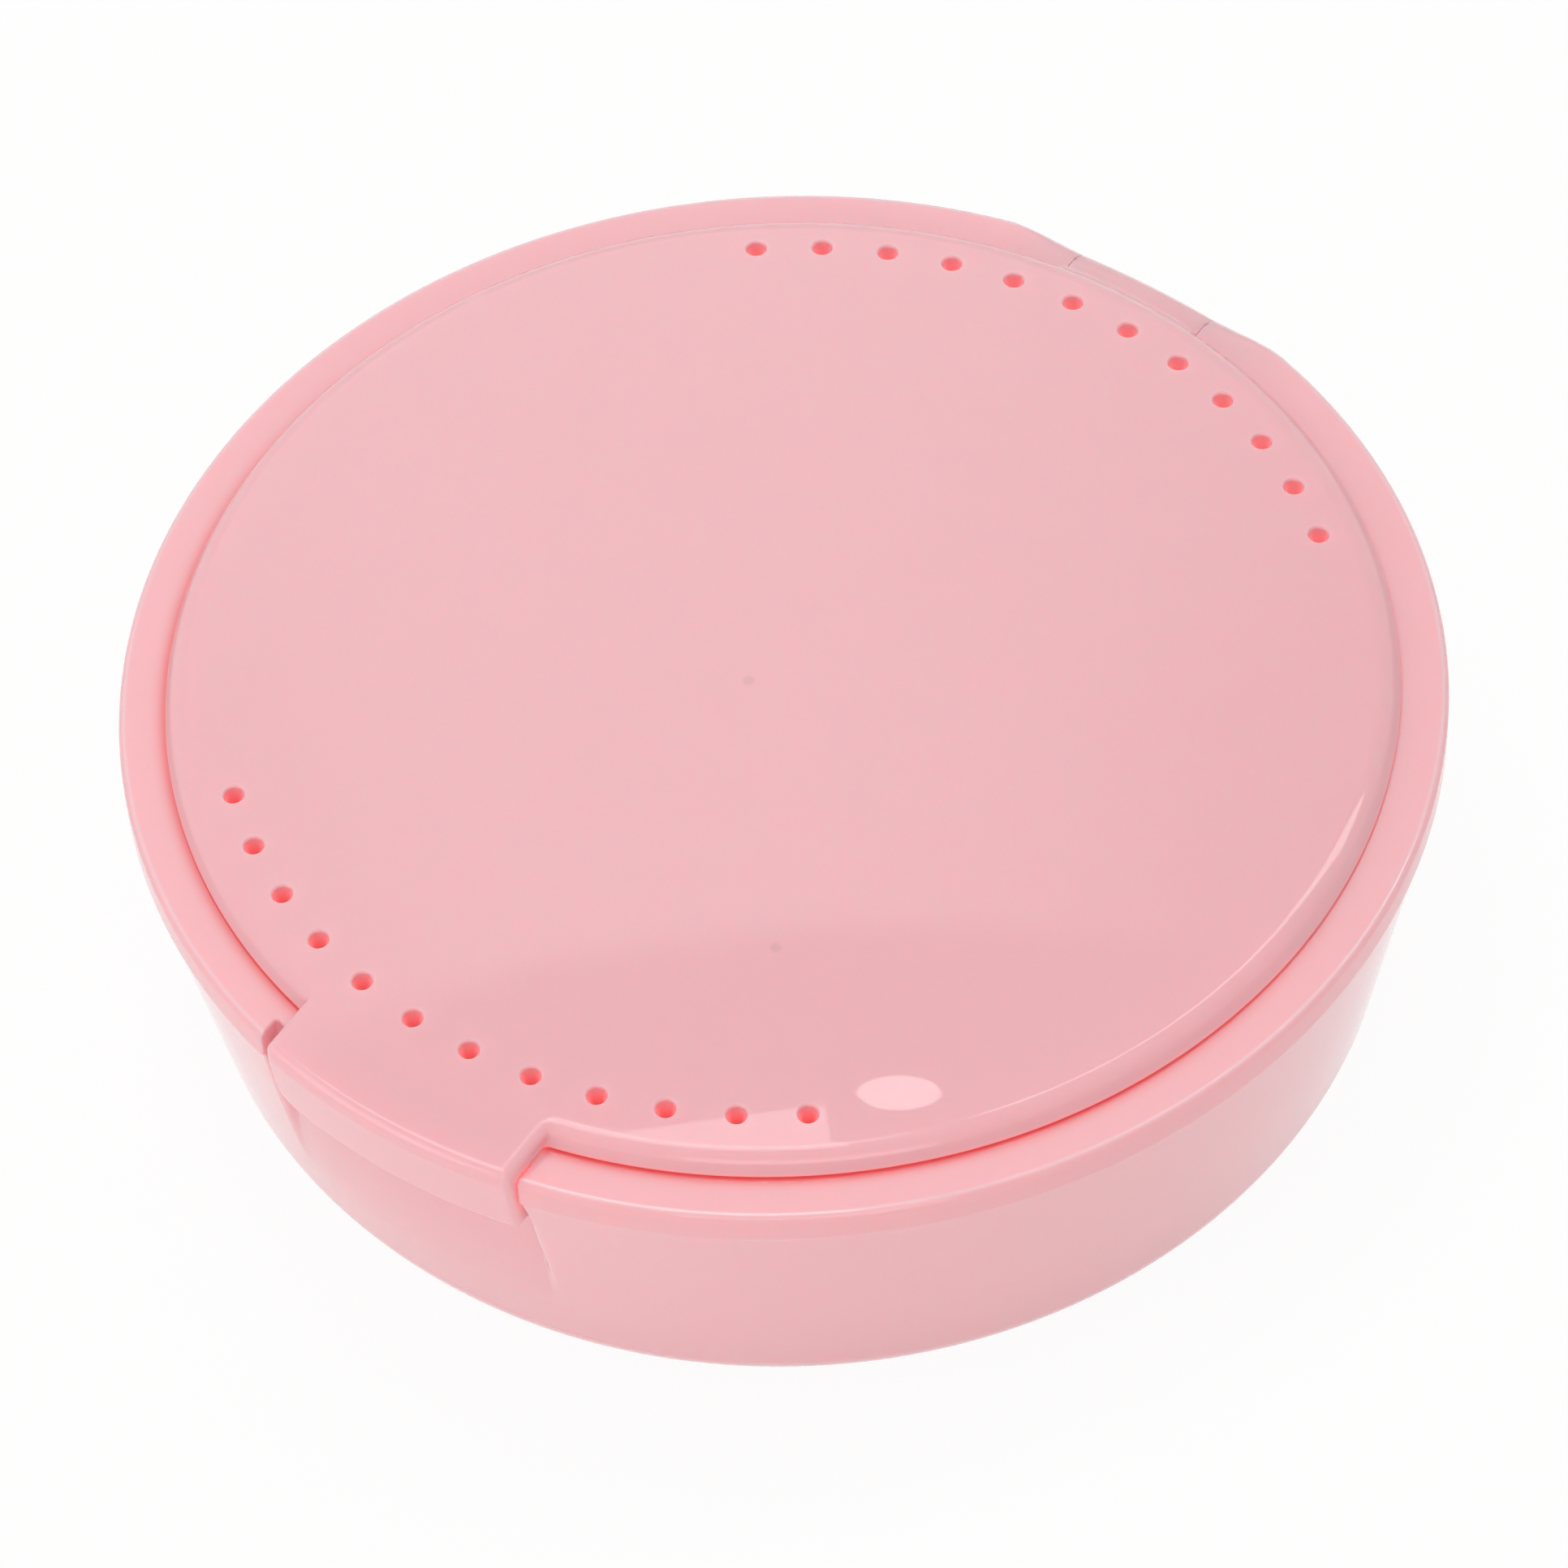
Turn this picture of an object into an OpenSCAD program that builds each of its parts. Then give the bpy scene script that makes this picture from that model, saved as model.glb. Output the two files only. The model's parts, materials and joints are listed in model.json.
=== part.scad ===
// Round hinged case for a dental retainer: a tapered tray, a domed lid with vent holes and a hinge pin.
// Millimetres, +Z up. The origin is the centre of the underside, the clasp is at -Y and the hinge at +Y.
// The case is drawn closed.

/* [Tray] */
// Outside diameter of the rim
rim_d = 80; // [72:1:92]
// Height from the underside to the top of the rim
tray_h = 21.7; // [18:0.1:30]
// How far the wall leans in on each side between the rim and the underside
foot_inset = 3.8; // [2:0.1:5]
// Radius of the rounded edge round the underside
foot_round = 3; // [1:0.1:3.5]
// Thickness of the floor
floor_t = 1.6; // [1.2:0.1:2.4]
// Thickness of the wall where it meets the floor
wall_t = 1.7; // [1.2:0.1:2.4]
// Radius of the inside corner between the floor and the wall
floor_round = 1.5; // [0.5:0.1:2.5]

/* [Rim] */
// Width of the rim from its outer edge to the mouth
rim_w = 3.8; // [3.4:0.1:5]
// Height of the rim's outer band
rim_band_h = 2.15; // [1.6:0.05:3]
// How far the band stands out from the wall under it
rim_step = 0.15; // [0.1:0.05:0.5]
// Radius of the rim's rounded top edge
rim_round = 0.7; // [0.3:0.05:1]
// Chamfer that leads the lid's ring into the mouth
mouth_chamfer = 0.5; // [0.3:0.05:0.8]

/* [Lid] */
// How far the lid laps over the rim beyond the mouth
lid_lap = 1; // [0.5:0.1:1.4]
// Thickness of the lid's domed plate
lid_t = 1.5; // [1.2:0.1:2]
// Height of the lid's edge above its seat
lid_edge_h = 1.25; // [1:0.05:2]
// Rise of the dome from the lid's edge to its centre
dome_rise = 1.65; // [0.8:0.05:4]
// Radius of the lid's rounded top edge
lid_round = 1.2; // [0.4:0.05:1.2]
// Gap between the lid and the top of the rim
seat_gap = 0.2; // [0.1:0.05:0.4]
// Depth of the locating ring under the lid
ring_h = 2; // [1:0.1:3]
// Thickness of the locating ring
ring_t = 0.9; // [0.7:0.1:1.2]
// Gap between the locating ring and the mouth
ring_clear = 0.4; // [0.3:0.05:0.6]

/* [Vent holes] */
// Diameter of a vent hole
vent_d = 1.2; // [0.8:0.1:1.5]
// Number of holes in each of the two rows
vents_per_row = 12; // [2:1:20]
// Angle between neighbouring holes, in degrees
vent_step = 7; // [5:0.5:8]
// Distance of the holes from the lid's edge
vent_inset = 3.4; // [3:0.1:8]

/* [Clasp] */
// Width of the clasp tab
tab_w = 18; // [10:0.5:26]
// Thickness of the tab
tab_t = 2.2; // [1.5:0.1:2.6]
// How far the tab stands out from the rim
tab_proud = 0.75; // [0:0.05:1]
// How far the tab hangs below the top of the rim
tab_drop = 4.5; // [3:0.05:8]
// Radius of the tab's rounded top edge
tab_round = 0.5; // [0.2:0.05:0.8]
// Gap at each side of the tab
tab_side_gap = 0.35; // [0.2:0.05:0.8]
// Gap between the tab and the recess behind it
tab_back_gap = 0.6; // [0.5:0.05:0.7]
// How far the catch ridge stands out of the recess
catch_proud = 0.3; // [0.15:0.05:0.4]
// Depth of the catch ridge below the top of the rim
catch_drop = 2.2; // [1.5:0.1:2.4]
// Height between the catch ridge and the bead that snaps under it
catch_pitch = 0.9; // [0.8:0.05:1]
// Room by which the bead passes the catch ridge
catch_clear = 0.05; // [0.03:0.01:0.1]

/* [Hinge] */
// Outside diameter of the hinge barrel
barrel_d = 3.2; // [2.8:0.1:3.6]
// Distance of the hinge axis from the rim's outer circle
hinge_inset = 2.2; // [1.8:0.1:2.6]
// Width of the lid's knuckle
knuckle_w = 9.6; // [5:0.1:14]
// Width of each ear of the tray
ear_w = 3.4; // [3:0.1:6]
// Gap between the knuckle and each ear
knuckle_gap = 0.15; // [0.1:0.05:0.4]
// Room round the turning knuckle
knuckle_clear = 0.3; // [0.2:0.05:0.5]
// Diameter of the hinge pin
pin_d = 1.4; // [1:0.1:1.8]
// Length of pin held in each ear
pin_grip = 3; // [2:0.1:3]
// Running clearance of the knuckle on the pin, on the radius
pin_clear = 0.05; // [0.02:0.01:0.1]
// Chamfer on the pin's ends
pin_chamfer = 0.15; // [0.05:0.05:0.3]

/* [Hidden] */
$fn = 180;

moulding_pink = [0.93, 0.72, 0.74];
pin_steel = [0.78, 0.79, 0.80];

// Straight steps in a small rounded corner and in the dome
corner_steps = 8;
dome_steps = 24;
// How far a cutting shape runs past the solid that it cuts
past = 1;

// Tray radii
rim_r = rim_d / 2;
wall_top_r = rim_r - rim_step;
foot_r = rim_r - foot_inset;
mouth_r = rim_r - rim_w;
band_z = tray_h - rim_band_h;
wall_lean = atan2(wall_top_r - foot_r, band_z);
inner_foot_r = foot_r + floor_t * tan(wall_lean) - wall_t / cos(wall_lean);
inner_lean = atan2(mouth_r - inner_foot_r, tray_h - mouth_chamfer - floor_t);

// Lid heights and radii
seat_z = tray_h + seat_gap;
lid_r = mouth_r + lid_lap;
edge_z = seat_z + lid_edge_h;
dome_r = (lid_r * lid_r + dome_rise * dome_rise) / (2 * dome_rise);
dome_z = edge_z + dome_rise - dome_r;
lid_top = dome_z + dome_r;
ring_out_r = mouth_r - ring_clear;
ring_in_r = ring_out_r - ring_t;
vent_r = lid_r - vent_inset;

// Clasp places
tab_out_r = rim_r + tab_proud;
tab_in_r = tab_out_r - tab_t;
tab_z = tray_h - tab_drop;
recess_r = tab_in_r - tab_back_gap;
recess_w = tab_w + 2 * tab_side_gap;
catch_z = tray_h - catch_drop;
bead_z = catch_z - catch_pitch;
bead_proud = tab_back_gap - catch_proud - catch_clear;
// Half the angle that the ridge and the bead run along behind the tab
catch_half_angle = asin((tab_w / 2 - past) / tab_out_r);

// Hinge places: the barrel lies level with the top of the rim
barrel_r = barrel_d / 2;
axis_y = rim_r - hinge_inset;
axis_z = tray_h - barrel_r;
slot_w = knuckle_w + 2 * knuckle_gap;
ears_w = slot_w + 2 * ear_w;
pin_len = slot_w + 2 * pin_grip;
// The knuckle's web reaches this far in under the lid
web_y = min(axis_y - barrel_r, lid_r - lid_lap);

// Points along an arc about a centre, from one angle to another
function arc(centre, r, from, to, steps) =
    [for (i = [0 : steps]) centre + r * [cos(from + (to - from) * i / steps), sin(from + (to - from) * i / steps)]];

// Centre of a round of radius r that runs from an upright side at side_r into the dome
function edge_centre(side_r, r) =
    [side_r - r, dome_z + sqrt(pow(dome_r - r, 2) - pow(side_r - r, 2))];

// Angle at which that round runs into the dome
function edge_angle(side_r, r) = atan2(edge_centre(side_r, r)[1] - dome_z, side_r - r);

// A round edge from an upright side into the dome
function dome_edge(side_r, r) =
    arc(edge_centre(side_r, r), r, 0, edge_angle(side_r, r), corner_steps);

// A box centred on the YZ plane
module centred_box(w, y0, y1, z0, z1) {
    translate([-w / 2, y0, z0]) cube([w, y1 - y0, z1 - z0]);
}

// A cylinder along X on the hinge axis
module on_hinge_axis(d, x0, x1) {
    translate([x0, axis_y, axis_z]) rotate([0, 90, 0]) cylinder(d = d, h = x1 - x0);
}

// A round bead along the inside of the clasp, at the front
module clasp_bead(r, z, bead_r) {
    rotate([0, 0, -90 - catch_half_angle])
        rotate_extrude(angle = 2 * catch_half_angle)
            translate([r, z]) circle(r = bead_r, $fn = 24);
}

// Half section of the tray, with its rounded foot, band, rim and mouth
module tray_section() {
    foot_run = foot_round / tan((90 + wall_lean) / 2);
    floor_run = floor_round / tan((90 + inner_lean) / 2);
    polygon(concat(
        [[0, 0]],
        arc([foot_r - foot_run, foot_round], foot_round, -90, -wall_lean, corner_steps),
        [[wall_top_r, band_z], [rim_r, band_z]],
        arc([rim_r - rim_round, tray_h - rim_round], rim_round, 0, 90, corner_steps),
        [[mouth_r + mouth_chamfer, tray_h], [mouth_r, tray_h - mouth_chamfer]],
        arc([inner_foot_r - floor_run, floor_t + floor_round], floor_round, -inner_lean, -90, corner_steps),
        [[0, floor_t]]
    ));
}

// Room for the tab in the rim, which fades out down the leaning wall as a finger recess
module clasp_recess() {
    difference() {
        centred_box(recess_w, -rim_r - past, 0, -past, tray_h + past);
        translate([0, 0, -2 * past]) cylinder(r = recess_r, h = tray_h + 4 * past);
    }
}

// Rim cut away behind and above the hinge axis, where the ears roll over
module hinge_roll_over() {
    centred_box(ears_w, axis_y, rim_r + past, axis_z, tray_h + past);
    centred_box(ears_w, axis_y + barrel_r, rim_r + past, -past, tray_h + past);
}

// Two ears that round off the rim on each side of the knuckle
module hinge_ears() {
    intersection() {
        on_hinge_axis(barrel_d, -ears_w / 2, ears_w / 2);
        cylinder(r = rim_r, h = tray_h + past);
    }
}

// Room in the rim and the wall for the lid's knuckle
module knuckle_slot() {
    reach = barrel_r + knuckle_clear;
    centred_box(slot_w, min(axis_y - reach, web_y - knuckle_clear), rim_r + past, axis_z - reach, tray_h + past);
}

module base_tray() {
    color(moulding_pink)
    difference() {
        union() {
            difference() {
                rotate_extrude() tray_section();
                clasp_recess();
                hinge_roll_over();
            }
            hinge_ears();
            clasp_bead(recess_r, catch_z, catch_proud);
        }
        knuckle_slot();
        // The pin goes in from the right, and the bore stops at its far end
        on_hinge_axis(pin_d, -pin_len / 2, rim_r);
    }
}

// Half section of the lid's plate, run out to the tab and down its outer skirt all the way round
module lid_section() {
    under_angle = acos(ring_in_r / (dome_r - lid_t));
    polygon(concat(
        arc([0, dome_z], dome_r - lid_t, 90, under_angle, dome_steps),
        [[ring_in_r, seat_z], [tab_in_r, seat_z], [tab_in_r, tab_z], [tab_out_r, tab_z]],
        dome_edge(tab_out_r, tab_round),
        arc([0, dome_z], dome_r, edge_angle(tab_out_r, tab_round), 90, dome_steps)
    ));
}

// Half section of what is trimmed away outside the lid's own rounded edge
module edge_trim_section() {
    run_in = edge_centre(lid_r, lid_round)[0] + lid_round * cos(edge_angle(lid_r, lid_round));
    polygon(concat(
        [[lid_r, tab_z - past]],
        dome_edge(lid_r, lid_round),
        [[run_in, lid_top + past], [tab_out_r + past, lid_top + past], [tab_out_r + past, tab_z - past]]
    ));
}

// Domed plate, trimmed to a round edge everywhere but at the clasp tab
module lid_plate() {
    difference() {
        rotate_extrude() lid_section();
        difference() {
            rotate_extrude() edge_trim_section();
            centred_box(tab_w, -tab_out_r - 2 * past, 0, tab_z - 2 * past, lid_top + 2 * past);
        }
    }
}

// Ring that locates the lid in the mouth, left out beside the hinge
module locating_ring() {
    difference() {
        translate([0, 0, seat_z - ring_h])
            difference() {
                cylinder(r = ring_out_r, h = ring_h + lid_edge_h / 2);
                translate([0, 0, -past]) cylinder(r = ring_in_r, h = ring_h + lid_edge_h + 2 * past);
            }
        centred_box(ears_w + 2 * knuckle_clear, 0, rim_r, seat_z - ring_h - past, seat_z);
    }
}

// Knuckle and the web that joins it to the lid's edge
module knuckle() {
    web_top = seat_z + lid_edge_h / 2;
    on_hinge_axis(barrel_d, -knuckle_w / 2, knuckle_w / 2);
    translate([-knuckle_w / 2, 0, 0])
        rotate([90, 0, 90])
            linear_extrude(knuckle_w)
                polygon([[web_y, axis_z], [axis_y, axis_z], [axis_y, axis_z + barrel_r],
                         [lid_r - lid_lap / 2, web_top], [web_y, web_top]]);
}

// One row of vent holes, centred on an angle about Z
module vent_row(middle) {
    for (i = [0 : vents_per_row - 1])
        rotate([0, 0, middle + vent_step * (i - (vents_per_row - 1) / 2)])
            translate([vent_r, 0, seat_z - past])
                cylinder(d = vent_d, h = lid_top - seat_z + 2 * past, $fn = 32);
}

module lid() {
    color(moulding_pink)
    difference() {
        union() {
            lid_plate();
            locating_ring();
            knuckle();
            clasp_bead(tab_in_r, bead_z, bead_proud);
        }
        vent_row(-90);
        vent_row(90);
        on_hinge_axis(pin_d + 2 * pin_clear, -knuckle_w, knuckle_w);
    }
}

module hinge_pin() {
    color(pin_steel)
    translate([-pin_len / 2, axis_y, axis_z])
        rotate([0, 90, 0])
            rotate_extrude()
                polygon([[0, 0], [pin_d / 2 - pin_chamfer, 0], [pin_d / 2, pin_chamfer],
                         [pin_d / 2, pin_len - pin_chamfer], [pin_d / 2 - pin_chamfer, pin_len], [0, pin_len]]);
}

base_tray();
lid();
hinge_pin();
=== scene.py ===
"""Looks of a round hinged case for a dental retainer, in glossy pink moulded plastic.

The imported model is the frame: its boxes and its joint give the main sizes used here. Each moulding is
written as a rounded solid, a formula for the distance to its skin in millimetres. The skin is traced on a
polar grid.
"""

import itertools
import json
import logging
import math
from collections.abc import Callable, Sequence
from dataclasses import dataclass, field
from enum import Enum
from typing import Any

import bpy
import numpy as np
from mathutils import Matrix, Vector


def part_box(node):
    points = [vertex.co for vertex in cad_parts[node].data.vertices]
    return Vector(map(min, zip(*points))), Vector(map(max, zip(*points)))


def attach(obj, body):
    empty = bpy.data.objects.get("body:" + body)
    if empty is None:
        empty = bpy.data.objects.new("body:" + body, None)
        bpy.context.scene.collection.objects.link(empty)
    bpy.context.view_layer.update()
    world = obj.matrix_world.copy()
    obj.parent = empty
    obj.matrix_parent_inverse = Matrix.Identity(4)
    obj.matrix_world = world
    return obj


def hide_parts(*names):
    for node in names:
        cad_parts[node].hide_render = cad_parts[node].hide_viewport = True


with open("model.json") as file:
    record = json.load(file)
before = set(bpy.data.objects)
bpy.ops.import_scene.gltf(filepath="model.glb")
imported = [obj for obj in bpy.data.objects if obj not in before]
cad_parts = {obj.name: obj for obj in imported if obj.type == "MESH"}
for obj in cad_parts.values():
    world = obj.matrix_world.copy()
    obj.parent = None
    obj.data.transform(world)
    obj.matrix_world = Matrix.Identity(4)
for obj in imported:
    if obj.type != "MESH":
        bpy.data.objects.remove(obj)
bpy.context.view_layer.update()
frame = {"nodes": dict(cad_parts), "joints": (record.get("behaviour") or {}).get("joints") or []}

log = logging.getLogger("retainer_case")

Array = np.ndarray
Colour = tuple[float, float, float]
Solid = Callable[[Array, Array, Array], Array]

# One millimetre in the frame's metres
MM = 0.001
# Name of the value on each point that tells how much painted glow comes out there, standing in for light
# through the plastic
PAINTED_GLOW = "painted_glow"
# Name of the value that tells how far the colour turns to deep red painted shade, up to 1, or to a pale
# painted highlight, down to -1
PAINTED_TINT = "painted_tint"


class Body(Enum):
    """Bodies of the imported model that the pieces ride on."""

    TRAY = "tray"
    COVER = "cover"


class Slot(Enum):
    """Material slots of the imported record."""

    TRAY = "tray_plastic"
    LID = "lid_plastic"
    PIN = "pin_steel"


# Rounded solids


def rounded_and(first: Array, second: Array, radius: Array | float) -> Array:
    """Gives what two solids share, with the edge between them rounded.

    Args:
        first: Distance to the first solid, negative inside it.
        second: Distance to the second solid.
        radius: Radius of the rounded edge.

    Returns:
        Distance to the shared solid.
    """
    core = np.minimum(np.maximum(first, second), -radius)
    return core + np.hypot(np.maximum(first + radius, 0.0), np.maximum(second + radius, 0.0))


def rounded_or(first: Array, second: Array, radius: Array | float) -> Array:
    """Gives two solids joined, with a fillet in the corner between them.

    Args:
        first: Distance to the first solid, negative inside it.
        second: Distance to the second solid.
        radius: Radius of the fillet.

    Returns:
        Distance to the joined solid.
    """
    return -rounded_and(-first, -second, radius)


def rounded_cut(solid: Array, tool: Array, radius: Array | float) -> Array:
    """Gives a solid with a tool's shape cut away and the edge of the cut rounded.

    Args:
        solid: Distance to the solid, negative inside it.
        tool: Distance to the tool.
        radius: Radius of the cut's edge.

    Returns:
        Distance to what is left.
    """
    return rounded_and(solid, -tool, radius)


def soft_and(first: Array, second: Array, width: float) -> Array:
    """Gives what two solids share, with a long soft edge where they meet at a small angle.

    Args:
        first: Distance to the first solid, negative inside it.
        second: Distance to the second solid.
        width: How far apart the two skins are where the soft edge starts.

    Returns:
        Distance to the shared solid.
    """
    overlap = np.maximum(width - np.abs(first - second), 0.0)
    return np.maximum(first, second) + overlap**2 / (4.0 * width)


def ease(start: float, end: float, value: Array) -> Array:
    """Goes smoothly from 0 at the start value to 1 at the end value."""
    share = np.clip((value - start) / (end - start), 0.0, 1.0)
    return share * share * (3.0 - 2.0 * share)


def steps_along(*stretches: tuple[float, float, float]) -> Array:
    """Lays grid values along stretches that follow one another.

    Args:
        stretches: Start, end and spacing of each stretch.

    Returns:
        The values, rising, with shared ends given once.
    """
    values = [stretches[0][0]]
    for start, end, spacing in stretches:
        count = max(1, round((end - start) / spacing))
        values.extend(start + (end - start) * (step + 1) / count for step in range(count))
    return np.array(values)


def turns_from_clasp(beside_hinge: float) -> Array:
    """Lays angles from the clasp to the hinge in degrees, fine at the tab's sides and the knuckle's ends.

    Args:
        beside_hinge: Spacing beside the hinge.

    Returns:
        The angles, rising.
    """
    return steps_along(
        (0, 11, 1.1),
        (11, 15.5, 0.18),
        (15.5, 162, 1.1),
        (162, 171, beside_hinge),
        (171, 175, 0.16),
        (175, 180, 0.5),
    )


@dataclass
class PolarGrid:
    """Grid of angle, radius and height on which the skin of a solid is traced.

    Attributes:
        half_turn: Angles from the clasp to the hinge in degrees, used on both sides.
        radii: Radii from the axis outwards, in millimetres.
        heights: Heights, in millimetres.
    """

    half_turn: Array
    radii: Array
    heights: Array

    def corners(self) -> tuple[Array, Array, Array]:
        """Gives the grid points' coordinates in shapes that spread over the grid.

        Returns:
            X and Y by angle and radius, and Z by height.
        """
        turn = np.radians(np.concatenate([-self.half_turn[:0:-1], self.half_turn[:-1]]) - 90.0)
        x = np.cos(turn)[:, None, None] * self.radii[None, :, None]
        y = np.sin(turn)[:, None, None] * self.radii[None, :, None]
        return x, y, self.heights[None, None, :]

    def trace(self, solid: Solid) -> tuple[Array, list[list[int]]]:
        """Traces the skin with one point in each grid cell that the skin crosses.

        Args:
            solid: Distance to the solid, negative inside it.

        Returns:
            Points on the skin in millimetres, and the faces between them.
        """
        x, y, z = self.corners()
        values = solid(x, y, z)
        inside = values < 0.0
        turns, rings, levels = values.shape
        closed = np.concatenate([inside, inside[:1]])
        count = np.zeros((turns, rings - 1, levels - 1), dtype=np.int8)
        corner_steps = list(itertools.product((0, 1), repeat=3))
        for dj, di, dk in corner_steps:
            count += closed[dj : turns + dj, di : rings - 1 + di, dk : levels - 1 + dk]
        crossed = (count > 0) & (count < 8)
        index = np.full(crossed.shape, -1)
        index[crossed] = np.arange(crossed.sum())
        j, i, k = np.nonzero(crossed)
        corner_values = []
        corner_points = []
        for dj, di, dk in corner_steps:
            jj, ii, kk = (j + dj) % turns, i + di, k + dk
            corner_values.append(values[jj, ii, kk])
            corner_points.append(np.stack([x[jj, ii, 0], y[jj, ii, 0], z[0, 0, kk]], axis=1))
        points = self._mean_crossings(corner_steps, corner_values, corner_points)
        faces = self._quads(inside, index)
        tips, fans = self._axis_fans(inside, index, len(points))
        points = settle(np.concatenate([points, tips]), solid)
        return points, faces + fans

    @staticmethod
    def _mean_crossings(steps: list, values: list[Array], points: list[Array]) -> Array:
        """Averages the places where the skin crosses the twelve edges of each cell.

        Args:
            steps: The eight corners' places in a cell.
            values: Distance at each corner of every cell.
            points: Place of each corner of every cell.

        Returns:
            One point for each cell.
        """
        total = np.zeros_like(points[0])
        hits = np.zeros(len(total))
        for a, b in itertools.combinations(range(8), 2):
            if sum(abs(p - q) for p, q in zip(steps[a], steps[b])) != 1:
                continue
            crossing = (values[a] < 0.0) != (values[b] < 0.0)
            span = np.where(crossing, values[a] - values[b], 1.0)
            share = np.where(crossing, values[a] / span, 0.0)
            place = points[a] + share[:, None] * (points[b] - points[a])
            total += np.where(crossing[:, None], place, 0.0)
            hits += crossing
        return total / hits[:, None]

    @staticmethod
    def _quads(inside: Array, index: Array) -> list[list[int]]:
        """Joins the cells round every grid edge that the skin crosses.

        Args:
            inside: Whether each grid point lies in the solid.
            index: Number of each cell's point, or -1.

        Returns:
            Faces of four points that look outwards.
        """
        faces = []
        up = inside[:, 1:-1, :-1] != inside[:, 1:-1, 1:]
        j, i, k = np.nonzero(up)
        around = [index[j - 1, i, k], index[j - 1, i + 1, k], index[j, i + 1, k], index[j, i, k]]
        faces.append((np.stack(around, axis=1), inside[j, i + 1, k]))
        out = inside[:, :-1, 1:-1] != inside[:, 1:, 1:-1]
        j, i, k = np.nonzero(out)
        around = [index[j - 1, i, k], index[j, i, k], index[j, i, k + 1], index[j - 1, i, k + 1]]
        faces.append((np.stack(around, axis=1), inside[j, i, k + 1]))
        onward = (inside != np.roll(inside, -1, axis=0))[:, 1:-1, 1:-1]
        j, i, k = np.nonzero(onward)
        around = [index[j, i, k], index[j, i, k + 1], index[j, i + 1, k + 1], index[j, i + 1, k]]
        faces.append((np.stack(around, axis=1), inside[j, i + 1, k + 1]))
        quads = [np.where(starts_inside[:, None], quad, quad[:, ::-1]) for quad, starts_inside in faces]
        return np.concatenate(quads).tolist()

    def _axis_fans(self, inside: Array, index: Array, first: int) -> tuple[Array, list[list[int]]]:
        """Closes the skin where the axis goes through it.

        Args:
            inside: Whether each grid point lies in the solid.
            index: Number of each cell's point, or -1.
            first: Number of the first new point.

        Returns:
            Points on the axis, and the faces round them.
        """
        levels = np.nonzero(inside[0, 0, :-1] != inside[0, 0, 1:])[0]
        middles = (self.heights[levels] + self.heights[levels + 1]) / 2
        tips = np.stack([np.zeros(len(levels)), np.zeros(len(levels)), middles], axis=1)
        fans = []
        for number, level in enumerate(levels):
            ring = index[:, 0, level]
            fan = np.stack([np.full(len(ring), first + number), np.roll(ring, 1), ring], axis=1)
            if not inside[0, 0, level]:
                fan = fan[:, ::-1]
            fans.extend(fan.tolist())
        return tips, fans


def slope_at(points: Array, solid: Solid, reach: float = 0.004) -> Array:
    """Measures how the distance to a solid rises round each point.

    Args:
        points: Places in millimetres.
        solid: Distance to the solid.
        reach: Half the length over which the rise is measured.

    Returns:
        Slope at each point along X, Y and Z.
    """
    slopes = []
    for axis in range(3):
        shift = np.zeros(3)
        shift[axis] = reach
        ahead = solid(*(points + shift).T)
        behind = solid(*(points - shift).T)
        slopes.append((ahead - behind) / (2 * reach))
    return np.stack(slopes, axis=1)


def settle(points: Array, solid: Solid, rounds: int = 6, stride: float = 0.3) -> Array:
    """Moves points along the slope until they lie on the skin of a solid.

    Args:
        points: Places near the skin in millimetres.
        solid: Distance to the solid.
        rounds: Number of moves.
        stride: Longest single move.

    Returns:
        Places on the skin.
    """
    for _ in range(rounds):
        slopes = slope_at(points, solid)
        steepness = np.maximum((slopes**2).sum(axis=1), 0.25)
        move = np.clip(solid(*points.T) / steepness, -stride, stride)
        points = points - move[:, None] * slopes
    return points


def moulding_mesh(name: str, points: Array, faces: list[list[int]]) -> bpy.types.Mesh:
    """Makes a smooth mesh in metres.

    Args:
        name: Name of the mesh.
        points: Places in millimetres.
        faces: Point numbers of each face.

    Returns:
        The mesh.
    """
    mesh = bpy.data.meshes.new(name)
    mesh.from_pydata((points * MM).tolist(), [], faces)
    mesh.shade_smooth()
    return mesh


def rows_of(items: Any, name: str, width: int, kind: type = np.float32) -> Array:
    """Reads one field of all points, corners or faces of a mesh.

    Args:
        items: The points, corners or faces.
        name: Name of the field.
        width: How many numbers it holds.
        kind: Kind of number.

    Returns:
        The numbers, a row for each item.
    """
    values = np.empty(len(items) * width, dtype=kind)
    items.foreach_get(name, values)
    return values.reshape(len(items), width)


def normals_at(points: Array, solid: Solid) -> Array:
    """Gives the outward direction of a solid's skin at points near it."""
    slopes = slope_at(points, solid)
    return slopes / np.maximum(np.linalg.norm(slopes, axis=1, keepdims=True), 1e-9)


def shade_as_solid(
    mesh: bpy.types.Mesh, solid: Solid, uncut: Solid | None = None, reach: float = 0.03
) -> None:
    """Gives a mesh the exact normals of the solid that it stands for.

    Args:
        mesh: The mesh, in metres.
        solid: Distance to the solid.
        uncut: Distance to the solid before a cut, for the faces that the cut left alone.
        reach: How near a face lies to the uncut skin if the cut left it alone.
    """
    places = rows_of(mesh.vertices, "co", 3).astype(float) / MM
    corners = rows_of(mesh.loops, "vertex_index", 1, np.int32)[:, 0]
    normals = normals_at(places, solid)[corners]
    if uncut is not None:
        centres = rows_of(mesh.polygons, "center", 3).astype(float) / MM
        sizes = rows_of(mesh.polygons, "loop_total", 1, np.int32)[:, 0]
        left_alone = np.repeat(np.abs(uncut(*centres.T)) < reach, sizes)
        normals[left_alone] = normals_at(places, uncut)[corners][left_alone]
    mesh.normals_split_custom_set(normals.tolist())


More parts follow.
